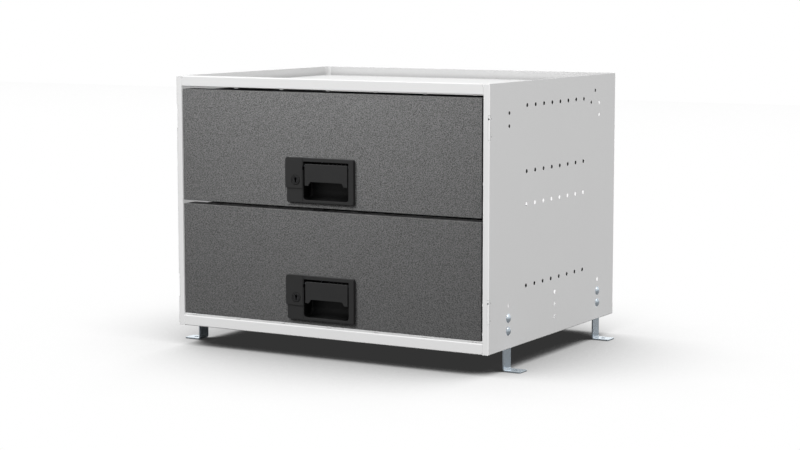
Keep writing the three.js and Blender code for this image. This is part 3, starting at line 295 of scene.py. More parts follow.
def folded(corners, axis, start, stop, thickness=SHEET, bend=MIDDLE_BEND, soft=0.3, steps=6):
    """Folded sheet drawn out along an axis. Its section is a middle line with arcs for bends and
    half the thickness to either side, and its cut edges are rounded."""
    points = np.asarray(corners, float)
    ways = np.diff(points, axis=0)
    ways /= np.linalg.norm(ways, axis=1)[:, None]
    normals = np.stack([-ways[:, 1], ways[:, 0]], 1)
    line, across = [], []
    for i in range(1, len(points) - 1):
        turn = math.atan2(
            ways[i - 1, 0] * ways[i, 1] - ways[i - 1, 1] * ways[i, 0], float(ways[i - 1] @ ways[i])
        )
        begin = points[i] - ways[i - 1] * bend * math.tan(abs(turn) / 2)
        centre = begin + normals[i - 1] * bend * np.sign(turn)
        angle = turn * np.linspace(0, 1, steps + 1)
        spin = np.array([[np.cos(angle), -np.sin(angle)], [np.sin(angle), np.cos(angle)]])
        line.append(centre + np.einsum("abk,b->ka", spin, begin - centre))
        across.append(np.einsum("abk,b->ka", spin, normals[i - 1]))

    def outline(inset=0.0):
        half = thickness / 2 - inset
        back, fall = (turn[::-1, None] for turn in quarter_turn(max(soft - inset, LEAST), 3))
        side = half - fall
        first, last = points[0] + ways[0] * inset, points[-1] - ways[-1] * inset

        def edge(sign):
            head = first + ways[0] * back + sign * normals[0] * side
            tail = last - ways[-1] * back[::-1] + sign * normals[-1] * side[::-1]
            middle = [bent + sign * out * half for bent, out in zip(line, across)]
            return np.concatenate([head, *middle, tail])

        return np.concatenate([edge(1), edge(-1)[::-1]])

    return prism(outline, axis, start, stop, soft, soft, 3)


def lathe(profile, axis, u, v, sides=48, ring=False):
    """Turns a profile of (radius, place along the axis) about an axis through (u, v)."""
    profile = np.asarray(profile, float)
    angle = np.linspace(0, 2 * math.pi, sides, endpoint=False)
    circle = np.stack([np.cos(angle), np.sin(angle)], 1)
    loops = [place_loop(circle * max(r, LEAST) + (u, v), axis, at) for r, at in profile]
    return loft(loops, ring)


def drill(axis, u, v, radius, face, far, soft=0.35, sides=28, spread=0.0):
    """Tool for a round hole from a face to a far place. At the face it flares as a quarter circle
    of the soft radius, so that the rim comes out rounded, and it may widen towards the far end."""
    way = math.copysign(1.0, face - far)
    grow, depth = quarter_turn(soft)
    profile = [(radius + soft, face + way * OVERRUN)]
    profile += [(radius + soft - d, face - way * (soft - g)) for g, d in zip(grow[::-1], depth)]
    profile.append((radius + spread, far))
    return lathe(profile, axis, u, v, sides)


def corner_tool(axis, u, v, sign_u, sign_v, radius, start, stop):
    """What comes off a square edge at (u, v) to round it. The signs point into the material."""
    arc = np.stack(quarter_turn(radius, 6), 1)
    outside = [(-OVERRUN, radius), (-OVERRUN, -OVERRUN), (radius, -OVERRUN)]
    loop = np.concatenate([arc, outside]) * (sign_u, sign_v) + (u, v)
    return loft([place_loop(loop, axis, start), place_loop(loop, axis, stop)])


def tube(path, radius, sides=10):
    """Round wire along a path: at each point a circle stands square to the path's direction."""
    path = np.asarray(path, float)
    along = np.gradient(path, axis=0)
    along /= np.linalg.norm(along, axis=1)[:, None]
    side = np.array([1.0, 0, 0]) - along * along[:, :1]
    side /= np.linalg.norm(side, axis=1)[:, None]
    up = np.cross(along, side)
    angle = np.linspace(0, 2 * math.pi, sides, endpoint=False)[None, :, None]
    loops = path[:, None] + radius * (side[:, None] * np.cos(angle) + up[:, None] * np.sin(angle))
    return loft(loops)


def row(count, pitch):
    """Evenly spaced places that are centred on zero."""
    return (np.arange(count) - (count - 1) / 2) * pitch


# ---------------------------------------------------------------- materials


class Nodes:
    """A node tree, with the one method that adds its nodes."""

    def __init__(self, tree):
        self.tree = tree
        tree.nodes.clear()

    def node(self, kind, settings=None, values=None):
        """Adds a node: its settings first, then the values or links of its sockets."""
        made = self.tree.nodes.new(kind)
        for key, value in (settings or {}).items():
            setattr(made, key, value)
        for key, value in (values or {}).items():
            socket = made.inputs[key]
            source = value.socket if isinstance(value, Field) else value
            if isinstance(source, bpy.types.NodeSocket):
                self.tree.links.new(source, socket)
            else:
                socket.default_value = source
        return made

    def rays(self, *kinds):
        """One field for each kind of ray, which is 1 where the ray is of that kind."""
        path = self.node("ShaderNodeLightPath")
        return [Field(self, path.outputs[f"Is {kind} Ray"]) for kind in kinds]


class Field:
    """A socket with arithmetic: each operator adds a Math node."""

    def __init__(self, nodes, socket):
        self.nodes = nodes
        self.socket = socket

    def maths(self, operation, *values):
        node = self.nodes.node("ShaderNodeMath", {"operation": operation}, dict(enumerate(values)))
        return Field(self.nodes, node.outputs[0])

    def __add__(self, other):
        return self.maths("ADD", self, other)

    __radd__ = __add__

    def __sub__(self, other):
        return self.maths("SUBTRACT", self, other)

    def __rsub__(self, other):
        return self.maths("SUBTRACT", other, self)

    def __mul__(self, other):
        return self.maths("MULTIPLY", self, other)

    __rmul__ = __mul__

    def larger(self, other):
        return self.maths("MAXIMUM", self, other)

    def smooth(self, low, high):
        """Goes from 0 to 1 between two values, with a soft start and end."""
        node = self.nodes.node(
            "ShaderNodeMapRange",
            {"interpolation_type": "SMOOTHSTEP"},
            {"Value": self, "From Min": low, "From Max": high},
        )
        return Field(self.nodes, node.outputs["Result"])


class Finish(Nodes):
    """A material, with the methods for its textures and its shader."""

    def __init__(self, name):
        self.material = bpy.data.materials.new(name)
        self.material.use_nodes = True
        super().__init__(self.material.node_tree)
        self.place = self.node("ShaderNodeTexCoord").outputs["Object"]

    def noise(self, scale, detail=2.0, roughness=0.5, distortion=0.0):
        """Noise about a half, with about so many grains to the metre."""
        values = {"Vector": self.place, "Scale": scale, "Detail": detail}
        values.update({"Roughness": roughness, "Distortion": distortion})
        return Field(self, self.node("ShaderNodeTexNoise", values=values).outputs[0])

    def varied(self, colour, factor, spread):
        """A colour that is darker by the spread where a factor is 0, and lighter where it is 1."""
        darker, lighter = (
            (*(channel * (1 + change) for channel in colour), 1.0) for change in (-spread, spread)
        )
        node = self.node(
            "ShaderNodeMix",
            {"data_type": "RGBA", "clamp_factor": True},
            {"Factor": factor, 6: darker, 7: lighter},
        )
        return node.outputs[2]

    def painted_hollow_shade(self, reach, depth):
        """Factor that falls from 1 on open faces by the depth in the piece's own hollows: painted
        shade from ambient occlusion, to darken a colour.
        """
        node = self.node(
            "ShaderNodeAmbientOcclusion", {"samples": 8, "only_local": True}, {"Distance": reach}
        )
        return 1 - (1 - Field(self, node.outputs["AO"])) * depth

    def tinted(self, colour, factor):
        """Colour times a factor that changes over the surface."""
        node = self.node(
            "ShaderNodeVectorMath", {"operation": "SCALE"}, {0: colour, "Scale": factor}
        )
        return node.outputs[0]

    def ramp(self, factor, stops):
        """Grey that runs straight between the stops, each a place and a level."""
        node = self.node("ShaderNodeValToRGB", values={"Fac": factor})
        elements = node.color_ramp.elements
        for place, level in stops:
            elements.new(place).color = (level, level, level, 1)
        elements.remove(elements[-1])
        elements.remove(elements[0])
        return Field(self, node.outputs["Color"])

    def bump(self, height, distance, strength):
        values = {"Height": height, "Distance": distance, "Strength": strength}
        return self.node("ShaderNodeBump", values=values).outputs["Normal"]

    def shader(self, **values):
        """Adds the Principled shader. Its sockets are named in small letters with underscores."""
        names = [key.replace("_", " ").title().replace("Ior", "IOR") for key in values]
        body = self.node("ShaderNodeBsdfPrincipled", values=dict(zip(names, values.values())))
        self.node("ShaderNodeOutputMaterial", values={"Surface": body.outputs[0]})
        return self.material


FINE_GRAIN = 700.0


def pale_coat(look):
    """Satin powder coat: a very fine orange peel, faint clouds and a little uneven gloss, with
    painted shade that darkens its colour in creases and hollows.
    """
    finish = Finish("pale_grey_powder_coat")
    cloud = finish.noise(9.0, detail=3.0)
    # Painted shade: the colour is darkened in the piece's creases and hollows, over a wide and a
    # narrow reach.
    painted_shade = finish.painted_hollow_shade(reach=0.15, depth=0.5) * finish.painted_hollow_shade(reach=0.012, depth=0.5)
    return finish.shader(
        base_color=finish.tinted(finish.varied(look.pale_coat, cloud, spread=0.015), painted_shade),
        roughness=cloud * 0.08 + look.pale_roughness,
        normal=finish.bump(finish.noise(FINE_GRAIN), look.peel_height / MM, strength=0.5),
    )


def dark_coat(look):
    """Pebbled powder coat: rounded grains a few millimetres wide, with a finer grain on them."""
    finish = Finish("dark_grey_powder_coat")
    grain = 1.0 / (look.pebble_size / MM)
    pebbles = finish.noise(grain, detail=1.5, roughness=0.55, distortion=0.6)
    relief = pebbles * 0.75 + finish.noise(grain * 2.7) * 0.25
    tone = relief.smooth(0.40, 0.60)
    return finish.shader(
        base_color=finish.varied(look.dark_coat, tone, look.pebble_contrast),
        roughness=0.72 - tone * 0.12,
        specular_ior_level=0.4,
        normal=finish.bump(relief, look.pebble_height / MM, strength=0.8),
    )


def black_plastic(look):
    """Moulded plastic: a fine spark-eroded grain and faint flow clouds, with painted shade that
    makes the finger cup and other hollows near black.
    """
    finish = Finish("black_plastic")
    grain = finish.noise(1100.0)
    clouded = finish.varied(look.plastic, finish.noise(30.0), spread=0.08)
    # Painted shade: the colour falls towards black deep in the finger cup and the piece's other
    # hollows.
    painted_cup_shade = finish.painted_hollow_shade(reach=0.08, depth=1.0).smooth(0.4, 0.95)
    return finish.shader(
        base_color=finish.tinted(clouded, finish.painted_hollow_shade(reach=0.04, depth=1.0) * painted_cup_shade),
        roughness=grain * 0.1 + 0.5,
        specular_ior_level=0.15,
        normal=finish.bump(grain, distance=0.00002, strength=0.5),
    )


def metal(name, colour, metallic, roughness, blotch):
    """Plated steel: soft blotches in tone and gloss, and a fine rolled grain."""
    finish = Finish(name)
    blotches = finish.noise(40.0, detail=3.0)
    grain = finish.noise(FINE_GRAIN)
    return finish.shader(
        base_color=finish.varied(colour, blotches, blotch),
        metallic=metallic,
        roughness=blotches * 0.12 + grain * 0.04 + roughness,
        normal=finish.bump(grain, distance=0.000004, strength=0.1),
    )


FINISHES = {}


def make_finishes(look):
    FINISHES.update(
        pale_grey_powder_coat=pale_coat(look),
        dark_grey_powder_coat=dark_coat(look),
        black_plastic=black_plastic(look),
        black_zinc=metal(
            "black_zinc", look.black_zinc, metallic=0.6, roughness=0.5, blotch=0.08
        ),
        zinc_plate=metal(
            "zinc_plate", look.zinc, look.zinc_metallic, look.zinc_roughness, blotch=0.05
        ),
    )


# ---------------------------------------------------------------- carcass


def add_piece(shape, *nodes):
    """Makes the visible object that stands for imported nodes, with the first one's name, body and
    finish."""
    name, body, slot = f"{nodes[0]}_skin", BODIES[nodes[0]], SLOTS[nodes[0]]
    obj = bpy.data.objects.new(name, shape.mesh(name, 1 / MM))
    bpy.context.scene.collection.objects.link(obj)
    obj.data.materials.append(FINISHES[slot])
    obj.data.shade_smooth()
    obj.data.set_sharp_from_angle(angle=SHARP_ANGLE)
    obj.modifiers.new("even shading", "WEIGHTED_NORMAL").keep_sharp = True
    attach(obj, body)
    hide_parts(*nodes)


def both_sides(shape, name):
    """Adds the right piece and its mirror image on the left. The side stands for {} in the name."""
    add_piece(shape, name.format("right"))
    add_piece(shape.mirrored(0), name.format("left"))


def both_levels(shape, name):
    """Adds the lower drawer's piece and a copy for the upper drawer."""
    rise = span(f"{name}_upper")[0][2] - span(f"{name}_lower")[0][2]
    for level, lift in zip(LEVELS, (0.0, rise)):
        add_piece(shape.moved(z=lift), f"{name}_{level}")


SHARP_ANGLE = math.radians(32)
RAIL = 22.0
RAIL_RETURN = 28.0
SEAM = 0.3

# Holes of the side panels: rows for the slides, pairs, a slanting couple and threes over the feet
GRID_ROWS = (0, 5, 7, 11)
GRID_COLUMNS = 8
GRID_PITCH = 38.8
GRID_TOP = 49.15
GRID_RADIUS = 4.0
PAIR_INSET = 85.0
PAIR_RADIUS = 3.5
PAIR_DROPS = (61.0, 87.0)
SLANTS = ((105.8, 33.7), (126.3, 58.4))
TRIPLE = (36.6, 62.45, 88.3)
TRIPLE_RADIUS = 4.25
HOLE_RIM = 0.15
HOLE_SPREAD = 5.0

# Front flanges of the side panels, with their nubs and hook slots
FLANGE = 13.5
FLANGE_RETURN = 6.0
HEM_RADIUS = 2.0
NUB_HEIGHTS = (41.3, 99.6, 339.4)
NUB_REACH = 3.0
HOOK_INSET = 61.0
HOOK_LENGTH = 50.0
HOOK_WRAP = (3.6, 5.6)
HOOK_PLATE = ((-7.0, HALF_SHEET), (-3.2, 0.5), (-0.5, 3.2), (-HALF_SHEET, 9.5))
HOOK_HOLE = (-3.2, 42.0, 2.0)
HOOK_DOT_PITCH = 35.4
HOOK_DOT = (8.5, 1.3)

# Feet
FOOT_INSET = 85.5
FOOT_WIDTH = 32.0
FOOT_NOTCH = FOOT_WIDTH / 2 + 1
FOOT_SHEET = 3.0
FOOT_BEND = 4.5
FOOT_CORNER = 2.5
FOOT_HOLE_PLACE = 20.5
FOOT_HOLE_RADIUS = 4.5
SHANK_RADIUS = 4.0
HEAD_RIM = 0.5


def side_holes(front, back, bottom, top):
    """Places and radii of the holes of a side panel, as rows of (y, z, radius)."""
    slide_row = middle("slide_outer_lower_right")[2]
    centre = (front + back) / 2
    pitch = (top - GRID_TOP - slide_row) / GRID_ROWS[-1]
    columns = centre + row(GRID_COLUMNS, GRID_PITCH)
    holes = [(y, slide_row + step * pitch, GRID_RADIUS) for step in GRID_ROWS for y in columns]
    holes += [
        (y, top - drop, PAIR_RADIUS)
        for y in (front + PAIR_INSET, back - PAIR_INSET)
        for drop in PAIR_DROPS
    ]
    holes += [(back - inset, top - drop, PAIR_RADIUS) for inset, drop in SLANTS]
    feet = (front + FOOT_INSET, centre, back - FOOT_INSET)
    return holes + [(y, bottom + rise, TRIPLE_RADIUS) for y in feet for rise in TRIPLE]


def side_panel():
    """Right side panel: a web with flanges folded in along its front, back and lower edges."""
    low, high = span("side_panel_right")
    outer, front, back, bottom, top = high[0], low[1], high[1], low[2], high[2]
    tip, inner, web = outer - FLANGE, outer - SHEET, outer - HALF_SHEET
    middle_front, middle_back = front + HALF_SHEET, back - HALF_SHEET
    plan = [(tip, middle_front), (web, middle_front), (web, middle_back), (tip, middle_back)]
    hem = [(tip, bottom + HALF_SHEET), (web, bottom + HALF_SHEET), (web, bottom + RAIL)]
    edge = corner_tool("y", outer, bottom, -1, 1, HEM_RADIUS, front - OVERRUN, back + OVERRUN)
    panel = carved(folded(plan, "z", bottom, top), cuts=[edge])
    adds = [
        folded(hem, "y", middle_front, middle_back, soft=0.2),
        slab((tip, tip + SHEET), (front + 0.4, front + FLANGE_RETURN), (bottom, top), 0.2, "z"),
    ]
    nub_depth = (front + 0.3, front + SHEET - 0.3)
    for rise in NUB_HEIGHTS:
        adds.append(slab((low[0], tip + SHEET), nub_depth, about(bottom + rise, NUB_REACH), 0.25))
    rail_end = (front - 1, front + RAIL_RETURN + SEAM)
    cuts = [slab((tip - 1, outer + 1), rail_end, (top - SHEET - SEAM, top + 1))]
    for y in (front + FOOT_INSET, back - FOOT_INSET):
        leg = (inner - FOOT_SHEET - SEAM, inner)
        cuts.append(slab(leg, about(y, FOOT_NOTCH), (bottom - 1, bottom + 3)))
    cuts.append(
        together(
            drill("x", y, z, radius, outer, inner - OVERRUN, HOLE_RIM, spread=HOLE_SPREAD)
            for y, z, radius in side_holes(front, back, bottom, top)
        )
    )
    plates = []
    for slot_low in (bottom + HOOK_INSET, top - HOOK_INSET - HOOK_LENGTH):
        slot = (slot_low, slot_low + HOOK_LENGTH)
        wrap = ((outer - HOOK_WRAP[0], outer + 1), (front - 1, front + HOOK_WRAP[1]))
        cuts.append(slab(*wrap, slot, 0, "y", 0.8))
        for z in sum(slot) / 2 + row(2, HOOK_DOT_PITCH):
            setback, radius = HOOK_DOT
            cuts.append(drill("x", front + setback, z, radius, outer, inner - OVERRUN, 0.2, 16))
        section = rounded([(outer + x, front + y) for x, y in HOOK_PLATE], LEAST, 1)
        x, rise, radius = HOOK_HOLE
        hole = drill("y", outer + x, slot_low + rise, radius, front - 1, front + 12)
        plates.append(carved(prism(section, "z", slot[0] - 1, slot[1] + 1), cuts=[hole]))
    return carved(carved(panel, adds, cuts), plates)


# Tray and base: reliefs beside the bends of the front rail, and welding tabs behind it
RELIEF_HEIGHT = 4.0
TRAY_RELIEF = 2.4
BASE_RELIEF = 0.6
BEND_ROOM = 3.0
TAB_COUNT = 7
TAB_INSET = 22.2
TAB_REACH = 4.0
TAB_SETBACK = 6.8
TAB_THICKNESS = 3.0
TAB_DROP = 2.0


def pan(is_base):
    """Tray on top: a floor, a front rail with a return, and three upstands. The base is the same
    piece upside down, without the ends of the return and notched for the foot brackets."""
    low, high = span("top_tray")
    half, front, back, top = high[0], low[1], high[1], high[2]
    floor = top - RAIL
    level = floor + HALF_SHEET
    profile = [
        (back - HALF_SHEET, top),
        (back - HALF_SHEET, level),
        (front + HALF_SHEET, level),
        (front + HALF_SHEET, top - HALF_SHEET),
        (front + RAIL_RETURN, top - HALF_SHEET),
    ]
    rail_half = half - FLANGE - SEAM
    wall = half - SHEET - HALF_SHEET
    wall_top = top - 0.3
    walls = [(-wall, wall_top), (-wall, level), (wall, level), (wall, wall_top)]
    adds = [folded(walls, "y", front + SHEET + BEND_ROOM, back - SHEET - 0.2)]
    cuts = []
    under = top - SHEET
    relief = BASE_RELIEF if is_base else TRAY_RELIEF
    for side in (-1, 1):
        relief_width = (side * (rail_half - relief), side * (rail_half + 1))
        cuts.append(slab(relief_width, (front - 1, front + 2), (under - RELIEF_HEIGHT, under)))
        if not is_base:
            ends = sorted((side * (rail_half - TRAY_RELIEF), side * half))
            rear = front + RAIL_RETURN
            corners = [(front, under), (rear, under), (rear, top), (front, top)]
            outline = rounded(corners, (LEAST, 0.3, 0.3, SHEET - 2 * LEAST))
            adds.append(prism(outline, "x", *ends, 0.2, 0.2, 2))
    tab_depth = (front + TAB_SETBACK, front + TAB_SETBACK + TAB_THICKNESS)
    tab_height = (floor - TAB_DROP, floor + HALF_SHEET)
    for x in row(TAB_COUNT, 2 * (rail_half - TAB_INSET) / (TAB_COUNT - 1)):
        adds.append(slab(about(x, TAB_REACH), tab_depth, tab_height, 0.25, "z"))
    if is_base:
        leg_inner = half - SHEET - FOOT_SHEET - SEAM
        for y in (front + FOOT_INSET, back - FOOT_INSET):
            for side in (-1, 1):
                leg = (side * leg_inner, side * half)
                cuts.append(slab(leg, about(y, FOOT_NOTCH), (floor - 1, top + 1)))
    shape = carved(carved(folded(profile, "x", -rail_half, rail_half), adds), cuts=cuts)
    if not is_base:
        return shape
    return shape.mirrored(2, (span("side_panel_right")[0][2] + top) / 2)


def foot_bracket():
    """Right front bracket: a leg inside the side panel and a foot that points outwards."""
    low, high = span("foot_bracket_front_right")
    y = (low[1] + high[1]) / 2
    leg, foot = low[0] + FOOT_SHEET / 2, low[2] + FOOT_SHEET / 2
    profile = [(leg, high[2]), (leg, foot), (high[0], foot)]
    solid = folded(profile, "y", low[1], high[1], FOOT_SHEET, FOOT_BEND, 0.45, 10)
    bottom = span("side_panel_right")[0][2]
    cuts = [
        drill("x", y, bottom + rise, TRIPLE_RADIUS, low[0] + FOOT_SHEET, low[0] - 1)
        for rise in TRIPLE[:2]
    ]
    foot_faces = (low[2] + FOOT_SHEET, low[2] - 1)
    cuts.append(drill("z", low[0] + FOOT_HOLE_PLACE, y, FOOT_HOLE_RADIUS, *foot_faces, 0.5))
    for y, inward in ((low[1], 1), (high[1], -1)):
        cuts.append(corner_tool("z", high[0], y, -1, inward, FOOT_CORNER, low[2] - 1, low[2] + 4))
        cuts.append(corner_tool("x", y, high[2], inward, -1, FOOT_CORNER, low[0] - 1, low[0] + 4))
    return carved(solid, cuts=cuts)


def foot_bolt():
    """Lower bolt of the right front bracket: a cup head on a plain shank."""
    low, high = span("foot_bolt_front_right_lower")
    outer = span("side_panel_right")[1][0]
    radius = (high[1] - low[1]) / 2
    rise = high[0] - outer - HEAD_RIM
    dome = (radius**2 + rise**2) / (2 * rise)
    angle = np.linspace(math.asin(radius / dome), 0, 14)
    cap = np.stack([dome * np.sin(angle), high[0] - dome * (1 - np.cos(angle))], 1)
    shank = [(SHANK_RADIUS - 0.4, low[0]), (SHANK_RADIUS, low[0] + 0.5), (SHANK_RADIUS, outer)]
    centre = (low + high) / 2
    return lathe([*shank, (radius - 0.2, outer), *cap], "x", centre[1], centre[2], 56)


# ---------------------------------------------------------------- drawers

# Drawer fronts and boxes
FRONT_GAP = 1.2
FRONT_BEND = 1.0
FRONT_CORNER = 1.6
FRONT_RETURN = 20.0
WINDOW_LAP = 5.5
WINDOW_LOWER_LAP = 3.4
SHELF_DEPTH = 8.0
ROD_NOTCH = 14.0
BOX_HEM = 8.0
BOX_BACK_HEIGHT = 140.0
BOX_TAB = 20.0
EYE_DROP = 28.0
EYE_REACH = 13.0
EYE_HOLE = 4.4

# Handles
CUP_LEFT = 40.5
CUP_RIGHT = 12.0
CUP_RISE = 5.8
CUP_HEIGHT = 79.3
CUP_DEPTH = 31.5
CUP_WALL = 2.0
CUP_HEM = 3.0
CUP_NOTCH = (62.1, 69.1)
SCOOP_RADIUS = 20.0
PLATE_WALL = 2.5
COVER_CORNER = 6.5
LOCK_OPENING = 9.3
COVER_OPENING = 10.5
BOSS_RADIUS = 11.5
BOSS_DEPTH = 22.0
PIN_BORE = 2.2
BARREL_BORE = 7.1
BARREL_FACE = 9.3
BARREL_SLEEVE = 9.0
PLUG_RADIUS = 6.5
KEYWAY_HALF = ((1.5, -5.7, 1.2), (1.9, -1.0, 0.6), (3.2, 1.0, 0.8), (2.9, 5.2, 2.2))
KEYWAY_DEPTH = 6.0
CAM_REACH = 5.0
PADDLE_SHEET = 3.5
PADDLE_HEIGHT = 37.0
PADDLE_TOP = 4.0
EAR_WIDTH = 8.4
EAR_SLANT = 5.5
EAR_DROP = 8.0
HUB_RADIUS = 3.8
RIB_COUNT = 5
RIB_PITCH = 10.3
RIB_INSET = 8.0
POCKET_RADIUS = 4.1
POCKET_REACH = 5.5
SPRING_PLACE = 41.0
SPRING_RADIUS = 3.0
SPRING_TURNS = 5.25
SPRING_PITCH = 1.5
SPRING_LEG = 10.0
WIRE_RADIUS = 0.45


def box_outline(low, high, inset, radii, steps):
    """Rounded rectangle in (x, z) round a box, drawn in by an inset."""
    sides = (low[0] + inset, high[0] - inset, low[2] + inset, high[2] - inset)
    return rectangle(*sides, radii, steps)


def drawer_front():
    """Lower drawer front: a tray of sheet whose skin is a ring of rounded rectangles, from the rim
    of its returns over the outer bend and the face to the handle window, and back inside."""
    low, high = span("drawer_front_lower")
    low, high = low + (FRONT_GAP, 0, 0), high - (FRONT_GAP, 0, 0)
    front, rear, top = low[1], high[1], high[2]
    return_y = front + FRONT_RETURN
    housing_low, housing_high = span("handle_housing_lower")
    window_low = housing_low + (WINDOW_LAP, 0, WINDOW_LOWER_LAP)
    window_high = housing_high - (WINDOW_LAP, 0, WINDOW_LAP)
    steps = 3

    def outer_loop(inset, y):
        corner = max(FRONT_CORNER - inset, 0.1)
        return place_loop(box_outline(low, high, inset, corner, steps)(), "y", y)

    def window_loop(growth, y):
        return place_loop(box_outline(window_low, window_high, -growth, 1.0, steps)(), "y", y)

    shrink, advance = quarter_turn(FRONT_BEND, 6)
    inner_shrink, inner_advance = quarter_turn(0.1, 3)
    loops = [outer_loop(0.2, return_y), outer_loop(0, return_y - 0.2)]
    loops += [outer_loop(s, front + a) for s, a in zip(shrink[::-1], advance[::-1])]
    loops += [window_loop(0.2, front), window_loop(0, front + 0.2)]
    inside = front + SHEET
    loops += [window_loop(0, inside)]
    loops += [outer_loop(SHEET + s, inside + a) for s, a in zip(inner_shrink, inner_advance)]
    loops += [outer_loop(SHEET, return_y - 0.2), outer_loop(SHEET - 0.2, return_y)]
    solid = loft(loops, ring=True)
    shelf_depth = (return_y - SHELF_DEPTH, rear)
    shelf = slab((low[0], high[0]), shelf_depth, (top - SHEET, top), 0.2, "z", 0.3)
    notch_width = about(middle("latch_rod_lower")[0], ROD_NOTCH)
    notch = slab(notch_width, (return_y + 1, rear + 1), (top - 3, top + 1), 0, "z", 0.8)
    return carved(solid, [shelf], [notch])


def drawer_box():
    """Lower drawer box of folded sheet, with hems along its sides and tabs towards the front."""
    low, high = span("drawer_box_lower")
    half, tab_y, back, bottom, top = high[0], low[1], high[1], low[2], high[2]
    front_wall = span("drawer_front_lower")[1][1] + 1.0
    whole = (bottom, top)
    soft = 0.45
    solid = slab((-half, half), (front_wall, back), (bottom, bottom + SHEET), 0.3, "z")
    adds = [
        slab((-half, half), (front_wall, front_wall + SHEET), whole, soft),
        slab((-half, half), (back - SHEET, back), (bottom, bottom + BOX_BACK_HEIGHT), soft),
    ]
    for side in (-1, 1):
        wall, hem, tab = (
            (side * (half - width), side * half) for width in (SHEET, 2 * SHEET, BOX_TAB)
        )
        adds.append(slab(wall, (tab_y, back), whole, soft, "x"))
        adds.append(slab(hem, (front_wall, back), (top - BOX_HEM, top), soft + 0.2, "x"))
        adds.append(slab(tab, (tab_y, tab_y + SHEET), whole, soft))
    rod_low, rod_high = span("latch_rod_lower")
    rod_x = middle("latch_rod_lower")[0]
    eye_top = top - EYE_DROP
    eye_depth = (rod_low[1] - 3, front_wall + HALF_SHEET)
    eye_height = (eye_top - SHEET, eye_top)
    adds.append(slab(about(rod_x, EYE_REACH), eye_depth, eye_height, 0.3, "z", 2.0))
    hole_depth = (rod_low[1] - 0.4, rod_high[1] + 0.4)
    hole_height = (eye_top - SHEET - 1, eye_top + 1)
    hole = slab(about(rod_x, EYE_HOLE), hole_depth, hole_height, 0, "z", 0.5)
    return carved(carved(solid, adds), cuts=[hole])


def cup_loops(low, high, face, depth, grow, lip):
    """Loops of the finger cup from the front to its back. Its lower edge rises as a quarter
    circle, the scoop, and its front rim may flare as a smaller one, the lip."""
    scoop = SCOOP_RADIUS + grow
    back = face + depth + grow
    radii = np.array((7.0, 7.0, 1.5, 1.5)) + grow

    def loop(y, flare, drawn_in, lift):
        outline = rectangle(
            low[0] - grow - flare + drawn_in,
            high[0] + grow + flare - drawn_in,
            low[1] - grow - flare + lift,
            high[1] + grow + flare - drawn_in,
            np.maximum(radii + flare - drawn_in, 0.4),
            6,
        )
        return place_loop(outline(), "y", y)

    flare, advance = quarter_turn(lip, 4)
    loops = [loop(face - OVERRUN if lip else face, lip, 0, 0)]
    if lip:
        loops += [loop(face + a, f, 0, 0) for f, a in zip(flare, advance)]
    for angle in np.linspace(0, math.pi / 2, 14)[:-1]:
        y = back - scoop + scoop * math.sin(angle)
        into_hem = max(0.0, (y - back + CUP_HEM) / CUP_HEM)
        drawn_in = CUP_HEM * (1 - math.sqrt(max(0.0, 1 - into_hem**2)))
        loops.append(loop(y, 0, drawn_in, scoop * (1 - math.cos(angle))))
    loops.append(loop(back, 0, CUP_HEM, scoop))
    return loft(loops)


def cup_place():
    """Lowest and highest (x, z) of the finger cup of the lower handle."""
    low, high = span("handle_housing_lower")
    bottom = low[2] + CUP_RISE
    return (low[0] + CUP_LEFT, bottom), (high[0] - CUP_RIGHT, bottom + CUP_HEIGHT)


def pin_bar(radius, ends):
    """Round bar between two values of x, about the paddle's pin on the lower drawer."""
    _, y, z = middle("paddle_pin_lower")
    return lathe([(radius, x) for x in ends], "x", y, z, 24)


def handle_housing():
    """Lower handle housing: a hollow plate with the finger cup and the boss of the lock."""
    low, high = span("handle_housing_lower")
    face, front = low[1], span("drawer_front_lower")[0][1]
    cup_low, cup_high = cup_place()
    lock_x, _, lock_z = middle("lock_barrel_lower")
    pivot_z = middle("paddle_pin_lower")[2]
    outline = box_outline(low, high, 0, (4.0, 4.0, 4.0, COVER_CORNER), 8)
    hollow = box_outline(low, high, PLATE_WALL, 2.7, 6)
    solid = prism(outline, "y", face, front, 1.1, 0, 5)
    solid = carved(solid, cuts=[prism(hollow, "y", face + PLATE_WALL, front + 1)])
    inside = face + HALF_SHEET
    boss_end = face + BOSS_DEPTH
    boss = [(BOSS_RADIUS, inside), (BOSS_RADIUS, boss_end - 0.4), (BOSS_RADIUS - 0.4, boss_end)]
    boss = lathe(boss, "y", lock_x, lock_z)
    cup = cup_loops(cup_low, cup_high, inside, CUP_DEPTH - HALF_SHEET, CUP_WALL, 0.0)
    solid = carved(solid, [cup, boss])
    arm_x = middle("latch_rod_lower")[0]
    cover_low, cover_high = span("lock_cover_lower")
    pin_ends = (cup_low[0] - 3, cup_high[0] + 3)
    cup_back = (face + CUP_DEPTH - 1, face + CUP_DEPTH + 3)
    notch_width = (cup_low[0] - 1.6, cup_low[0] + 1)
    notch_height = [cup_low[1] + rise for rise in CUP_NOTCH]
    groove = (about(cover_high[0], 0.3), (face - 1, face + 0.4), (low[2] - 1, cover_low[2] + 1))
    cuts = [
        cup_loops(cup_low, cup_high, face, CUP_DEPTH, 0.0, 0.5),
        drill("y", lock_x, lock_z, LOCK_OPENING, face, boss_end + 1, 0.3, 48),
        pin_bar(PIN_BORE, pin_ends),
        slab(about(arm_x, 4.8), cup_back, (pivot_z - 15.5, pivot_z + 2.5)),
        slab(notch_width, (face - 1, face + 6), notch_height, 0, "y", 0.5),
        slab(*groove),
    ]
    return carved(solid, cuts=cuts)


def lock_cover():
    """Raised cover at the left of the handle plate, with the round opening of the lock."""
    low, high = span("lock_cover_lower")
    lock_x, _, lock_z = middle("lock_barrel_lower")
    outline = box_outline(low, high, 0, (2.0, 1.0, 1.0, COVER_CORNER), 6)
    solid = prism(outline, "y", low[1], high[1], 0.5, 0, 4)
    opening = drill("y", lock_x, lock_z, COVER_OPENING, low[1], high[1] + 1, 0.2, 56)
    return carved(solid, cuts=[opening])


